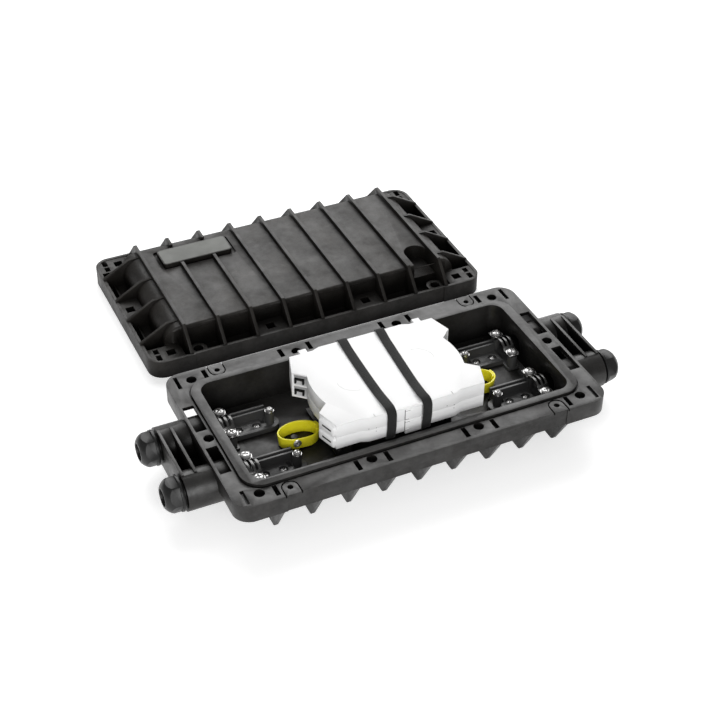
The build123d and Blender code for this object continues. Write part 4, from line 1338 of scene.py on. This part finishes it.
@dataclass
class TrayStack:
    """The splice trays on their bridge.

    A snap plate's row is how far it stands out, how far it runs in and its rounding. A catch bar's is how
    far it starts from the plate's left edge, how far it stands out and how tall it is, and each of the two
    bars then has its height and its end. The tongue's rows and the rows of the dark blocks of painted shade
    in the slits are offsets of their corners.
    """

    shift: float = -1.5 * MM
    line_round: float = 0.05 * MM
    lug_tip: Pair = (75.4 * MM, 29.0 * MM)
    lug_corner: Pair = (68.9 * MM, 49.8 * MM)
    notch: Pair = (65.2 * MM, 19.8 * MM)
    mouth_y: float = 40.0 * MM
    lip_size: Triple = (19.8 * MM, 5.8 * MM, 10.3 * MM)
    lip_round: float = 2.4 * MM
    slit_shade_size: Triple = (11.0 * MM, 5.9 * MM, 1.8 * MM)
    slit_shade_step: Pair = (1.2 * MM, 0.9 * MM)
    tab_size: Triple = (8.6 * MM, 2.0 * MM, 5.2 * MM)
    tab_bar: float = 1.5 * MM
    latch_x: Pair = (-7.8 * MM, 8.2 * MM)
    latch_inset: float = 0.4 * MM
    plate: Triple = (0.9 * MM, 0.5 * MM, 0.35 * MM)
    bar: Triple = (1.0 * MM, 1.3 * MM, 0.9 * MM)
    bar_round: float = 0.25 * MM
    bar_rows: tuple[Pair, Pair] = ((-3.0 * MM, 6.5 * MM), (1.2 * MM, 4.0 * MM))
    tongue_low: Triple = (0.8 * MM, 0.7 * MM, 3.0 * MM)
    tongue_high: Pair = (1.4 * MM, 1.0 * MM)
    tongue_round: float = 0.6 * MM
    seam_out: float = 0.98 * MM
    seam_deep: float = 0.5 * MM
    tick_x: Pair = (-35.3 * MM, 36.9 * MM)
    tick_low: Triple = (0.5 * MM, 1.0 * MM, 1.2 * MM)
    tick_high: Triple = (0.5 * MM, 3.6 * MM, 1.0 * MM)
    arc_r: float = 14.4 * MM
    arc_x: float = 31.3 * MM
    arc_y: float = 1.5 * MM
    arc_sink: float = 0.12 * MM
    arc_bar: float = 0.32 * MM
    arc_turn: Pair = (-10.0, 100.0)
    arc_steps: int = 24
    pin_size: Pair = (0.36 * MM, 0.16 * MM)
    pin_x: Pair = (-37.3 * MM, 35.5 * MM)
    pin_spots: tuple[Pair, ...] = ((-3.4 * MM, 2.0 * MM), (3.4 * MM, 0.9 * MM), (3.4 * MM, -2.6 * MM))

    def build(self) -> None:
        """Dresses the trays, combs and bridge and adds the trays' mouldings."""
        for level in ("lower", "upper"):
            node = f"splice_tray_{level}"
            dress(node, Finish.TRAY)
            dress(f"splice_comb_{level}", Finish.COMB, Edge.SHARP)
            self.lips(node)
            self.latch(node)
        cover = dress("tray_cover", Finish.TRAY)
        self.ticks(cover)
        self.cover_arcs()
        self.pin_marks()
        dress("tray_bridge", Finish.BRIDGE)
        Pan.M3.value.fit("bridge_screws")

    def lips(self, node: str) -> None:
        """Adds the lip with a dark block of painted shade in its slit on two of a tray's lugs, and dark
        blocks of painted shade in the tab slits on the other two.

        Args:
            node: the tray's node.
        """
        height = node_box(node).middle.z
        tip, corner = Vector((*self.lug_tip, 0.0)), Vector((*self.lug_corner, 0.0))
        along = (corner - tip).normalized()
        face = tip + along * ((self.mouth_y - tip.y) / along.y)
        (tip_x, tip_y), (notch_x, notch_y) = self.lug_tip, self.notch
        lean = math.atan2(tip_y - notch_y, notch_x - tip_x)
        run = Vector((math.cos(lean), math.sin(lean), 0.0))
        shoulder_x, shoulder_y = (tip_x + notch_x) / 2, (tip_y + notch_y) / 2
        (wide, deep, tall), bar = self.tab_size, self.tab_bar
        inward, upward = self.slit_shade_step
        lips, slits = [], []
        for side in SIDES:
            turn = math.atan2(along.y * side, along.x * side)
            spot = Vector((face.x * side, face.y * side + self.shift, height))
            lips.append(turned_block(self.lip_size, self.lip_round, spot, turn, 4))
            spot += along * side * inward + UP * upward
            # A dark block in the lip's slit: painted shade.
            slits.append(turned_block(self.slit_shade_size, self.line_round, spot, turn))
            shoulder = Vector((shoulder_x * side, self.shift - shoulder_y * side, height))
            blocks = [((wide, deep, bar), UP * ((tall - bar) / 2))]
            blocks += [((bar, deep, tall), run * edge * (wide - bar) / 2) for edge in SIDES]
            # Dark blocks in the tab slits: painted shade.
            slits += [turned_block(size, self.line_round, shoulder + step, lean) for size, step in blocks]
        add_piece(f"{node}_lips", lips, Finish.TRAY, node)
        add_piece(f"{node}_slits", slits, Finish.SHADE, node)

    def latch(self, node: str) -> None:
        """Adds the snap plate between the straps, with its catch bars, the grey lines of painted shade along
        its edges and beside its bars, and the lower tongue.

        Args:
            node: the tray's node.
        """
        box = node_box(node)
        front, left, right = box.low.y, *self.latch_x
        low, high = box.low.z + self.latch_inset, box.high.z - self.latch_inset
        out, back, round_off = self.plate
        plates = [slab(Vector((left, front - out, low)), Vector((right, front + back, high)), round_off)]
        bar_in, bar_out, bar_tall = self.bar
        for z, (rise, wide) in zip((high, low), self.bar_rows):
            start = Vector((left + bar_in, front - bar_out, z + rise))
            plates.append(slab(start, Vector((left + wide, front, z + rise + bar_tall)), self.bar_round))
        if node == "splice_tray_lower":
            (x, y, z), (back, rise) = self.tongue_low, self.tongue_high
            start = Vector((left + x, front - y, box.low.z - z))
            plates.append(slab(start, Vector((right, front + back, low + rise)), self.tongue_round, 3))
        add_piece(f"{node}_latch", plates, Finish.TRAY, node)
        # Grey lines along the plate's edges and beside its catch bars: painted shade.
        rows = ((left - 0.2 * MM, 0.55 * MM, low, high - low), (left, 5.0 * MM, high - 1.6 * MM, 0.35 * MM),
                (left, 3.4 * MM, low + 0.6 * MM, 0.4 * MM), (right - 0.5 * MM, 0.45 * MM, low, high - low))
        shade_lines = []
        for x, wide, z, tall in rows:
            start = Vector((x, front - self.seam_out, z))
            shade_lines.append(slab(start, start + Vector((wide, self.seam_deep, tall)), self.line_round))
        add_piece(f"{node}_latch_seams", shade_lines, Finish.SEAM, node)

    def ticks(self, cover: Piece) -> None:
        """Cuts the two short slits in the cover's near edge.

        Args:
            cover: the dressed cover.
        """
        top, front = node_box("tray_cover").high.z, node_box("splice_tray_upper").low.y
        (left, out, down), (right, back, up) = self.tick_low, self.tick_high
        cuts = [slab(Vector((x - left, front - out, top - down)), Vector((x + right, front + back, top + up)),
                     self.line_round, 1) for x in self.tick_x]
        cutter = in_scene("slit_cutter", joined(cuts))
        carve = cover.modifiers.new("slits", "BOOLEAN")
        carve.object = cutter
        carve.operation = "DIFFERENCE"
        carve.solver = "EXACT"
        cover.data = plain_mesh(cover)
        bpy.data.objects.remove(cutter)

    def cover_arcs(self) -> None:
        """Adds the two faint moulded arcs on the cover, as round bars sunk in it."""
        height = node_box("tray_cover").high.z - self.arc_sink
        start, sweep = self.arc_turn
        section = arc((0.0, 0.0), self.arc_bar, 0, 360, 30)
        bars = []
        for side in SIDES:
            path = []
            for i in range(self.arc_steps + 1):
                turn = math.radians(start + sweep * i / self.arc_steps) + (math.pi if side < 0 else 0.0)
                path.append(Vector((side * self.arc_x + self.arc_r * math.cos(turn),
                                    self.shift + side * self.arc_y + self.arc_r * math.sin(turn), height)))
            across = [along.cross(UP).normalized() for along in tangents(path)]
            bars.append(swept(path, across, [UP] * len(path), section))
        add_piece("tray_cover_arcs", bars, Finish.TRAY, "tray_cover")

    def pin_marks(self) -> None:
        """Adds the small ejector pin marks on the trays' near faces, as dark discs of painted shade."""
        node = "splice_tray_upper"
        low = node_box(node).low
        g = Pattern("pin_mark_pattern")
        disc = g.drum(*(g.size(*row) for row in zip(("Pin radius", "Pin depth"), self.pin_size)), 12)
        points = [Vector((x + dx, low.y, low.z + dz)) for x in self.pin_x for dx, dz in self.pin_spots]
        # The marks' dark colour is painted shade.
        mesh = g.grow(points, disc, Finish.SHADE, (math.pi / 2, 0.0, 0.0))
        add_piece("tray_pin_marks", mesh, Finish.SHADE, node)


@dataclass
class Studio:
    """The camera, the lamps and the pale floor."""

    azimuth: float = -0.441810535
    elevation: float = 0.66657647
    roll: float = 0.0107077776
    distance: float = 1.32693
    across: float = -0.0214155
    above: float = 0.0237411
    aim_height: float = 0.0505
    focal_px: float = 1535.17625
    image_px: float = 720.0
    sensor: float = 36.0
    clip: Pair = (0.05, 20.0)
    floor_half: float = 14.0
    floor_tone: float = 0.86
    floor_glow: float = 0.5
    floor_fade: Pair = (0.7, 1.7)
    sky: float = 0.26
    key: tuple[Triple, float, float] = ((0.6, 1.4, 1.15), 1.8, 36.0)
    fill: tuple[Triple, float, float] = ((-0.75, -1.95, 0.95), 1.5, 38.0)
    lamp_aim: Triple = (0.0, 0.12, 0.0)

    def build(self) -> None:
        """Makes all of it."""
        self.camera()
        self.floor()
        self.world()
        self.lamp("key_softbox", *self.key)
        self.lamp("fill_softbox", *self.fill)
        bpy.context.scene.view_settings.view_transform = "Standard"

    def camera(self) -> None:
        """Places the camera at the photograph's angle."""
        sa, ca = math.sin(self.azimuth), math.cos(self.azimuth)
        se, ce = math.sin(self.elevation), math.cos(self.elevation)
        sr, cr = math.sin(self.roll), math.cos(self.roll)
        back, right = Vector((sa * ce, -ca * ce, se)), Vector((ca, sa, 0.0))
        up = back.cross(right)
        side, top = cr * right + sr * up, cr * up - sr * right
        place = back * self.distance + side * self.across + top * self.above + UP * self.aim_height
        data = bpy.data.cameras.new("camera")
        data.sensor_fit = "HORIZONTAL"
        data.sensor_width = self.sensor
        data.lens = self.focal_px / self.image_px * self.sensor
        data.clip_start, data.clip_end = self.clip
        camera = in_scene("camera", data)
        camera.matrix_world = Matrix.Translation(place) @ Matrix((side, top, back)).transposed().to_4x4()
        bpy.context.scene.camera = camera

    def floor(self) -> None:
        """Makes the floor, which shows paler to the camera and keeps the object's shadow."""
        h = self.floor_half
        mesh = bpy.data.meshes.new("floor")
        mesh.from_pydata([(-h, -h, 0), (h, -h, 0), (h, h, 0), (-h, h, 0)], [], [(0, 1, 2, 3)])
        g = Graph("floor_paper")
        paper = g.out("ShaderNodeBsdfDiffuse", {"Color": grey(self.floor_tone)})
        path = g.add("ShaderNodeLightPath")
        seen = g.reckon("MAXIMUM", path.outputs["Is Camera Ray"], path.outputs["Is Glossy Ray"])
        seen = g.reckon("MAXIMUM", seen, path.outputs["Is Transmission Ray"])
        reach = g.out("ShaderNodeVectorMath", {0: g.coords}, "Value", operation="LENGTH")
        glow = g.times(seen, g.ramp(reach, *self.floor_fade, self.floor_glow, 1.0))
        both = g.out("ShaderNodeAddShader", {0: paper, 1: g.out("ShaderNodeEmission", {"Strength": glow})})
        g.add("ShaderNodeOutputMaterial", {"Surface": both})
        mesh.materials.append(g.material)
        in_scene("floor", mesh)

    def world(self) -> None:
        """Makes an even pale sky."""
        world = bpy.data.worlds.new("sky")
        world.use_nodes = True
        sky = world.node_tree.nodes["Background"]
        sky.inputs["Color"].default_value = grey(1.0)
        sky.inputs["Strength"].default_value = self.sky
        bpy.context.scene.world = world

    def lamp(self, name: str, place: Triple, size: float, power: float) -> None:
        """Adds a square soft lamp that looks at the closure.

        Args:
            name: the lamp's name.
            place: where it hangs.
            size: its side, in metres.
            power: its power, in watts.
        """
        data = bpy.data.lights.new(name, "AREA")
        data.size = size
        data.energy = power
        lamp = in_scene(name, data)
        lamp.location = place
        lamp.rotation_euler = (Vector(self.lamp_aim) - Vector(place)).to_track_quat("-Z", "Y").to_euler()


def main() -> None:
    """Builds every sub-assembly in order."""
    logging.basicConfig(level=logging.INFO, format="%(message)s")
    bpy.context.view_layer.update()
    for assembly in (Studio(), Shells(), Glands(), Clamps(), FibreRings(), TrayStack(), Straps()):
        assembly.build()
        log.info("%s done", type(assembly).__name__)


if __name__ == "__main__":
    main()
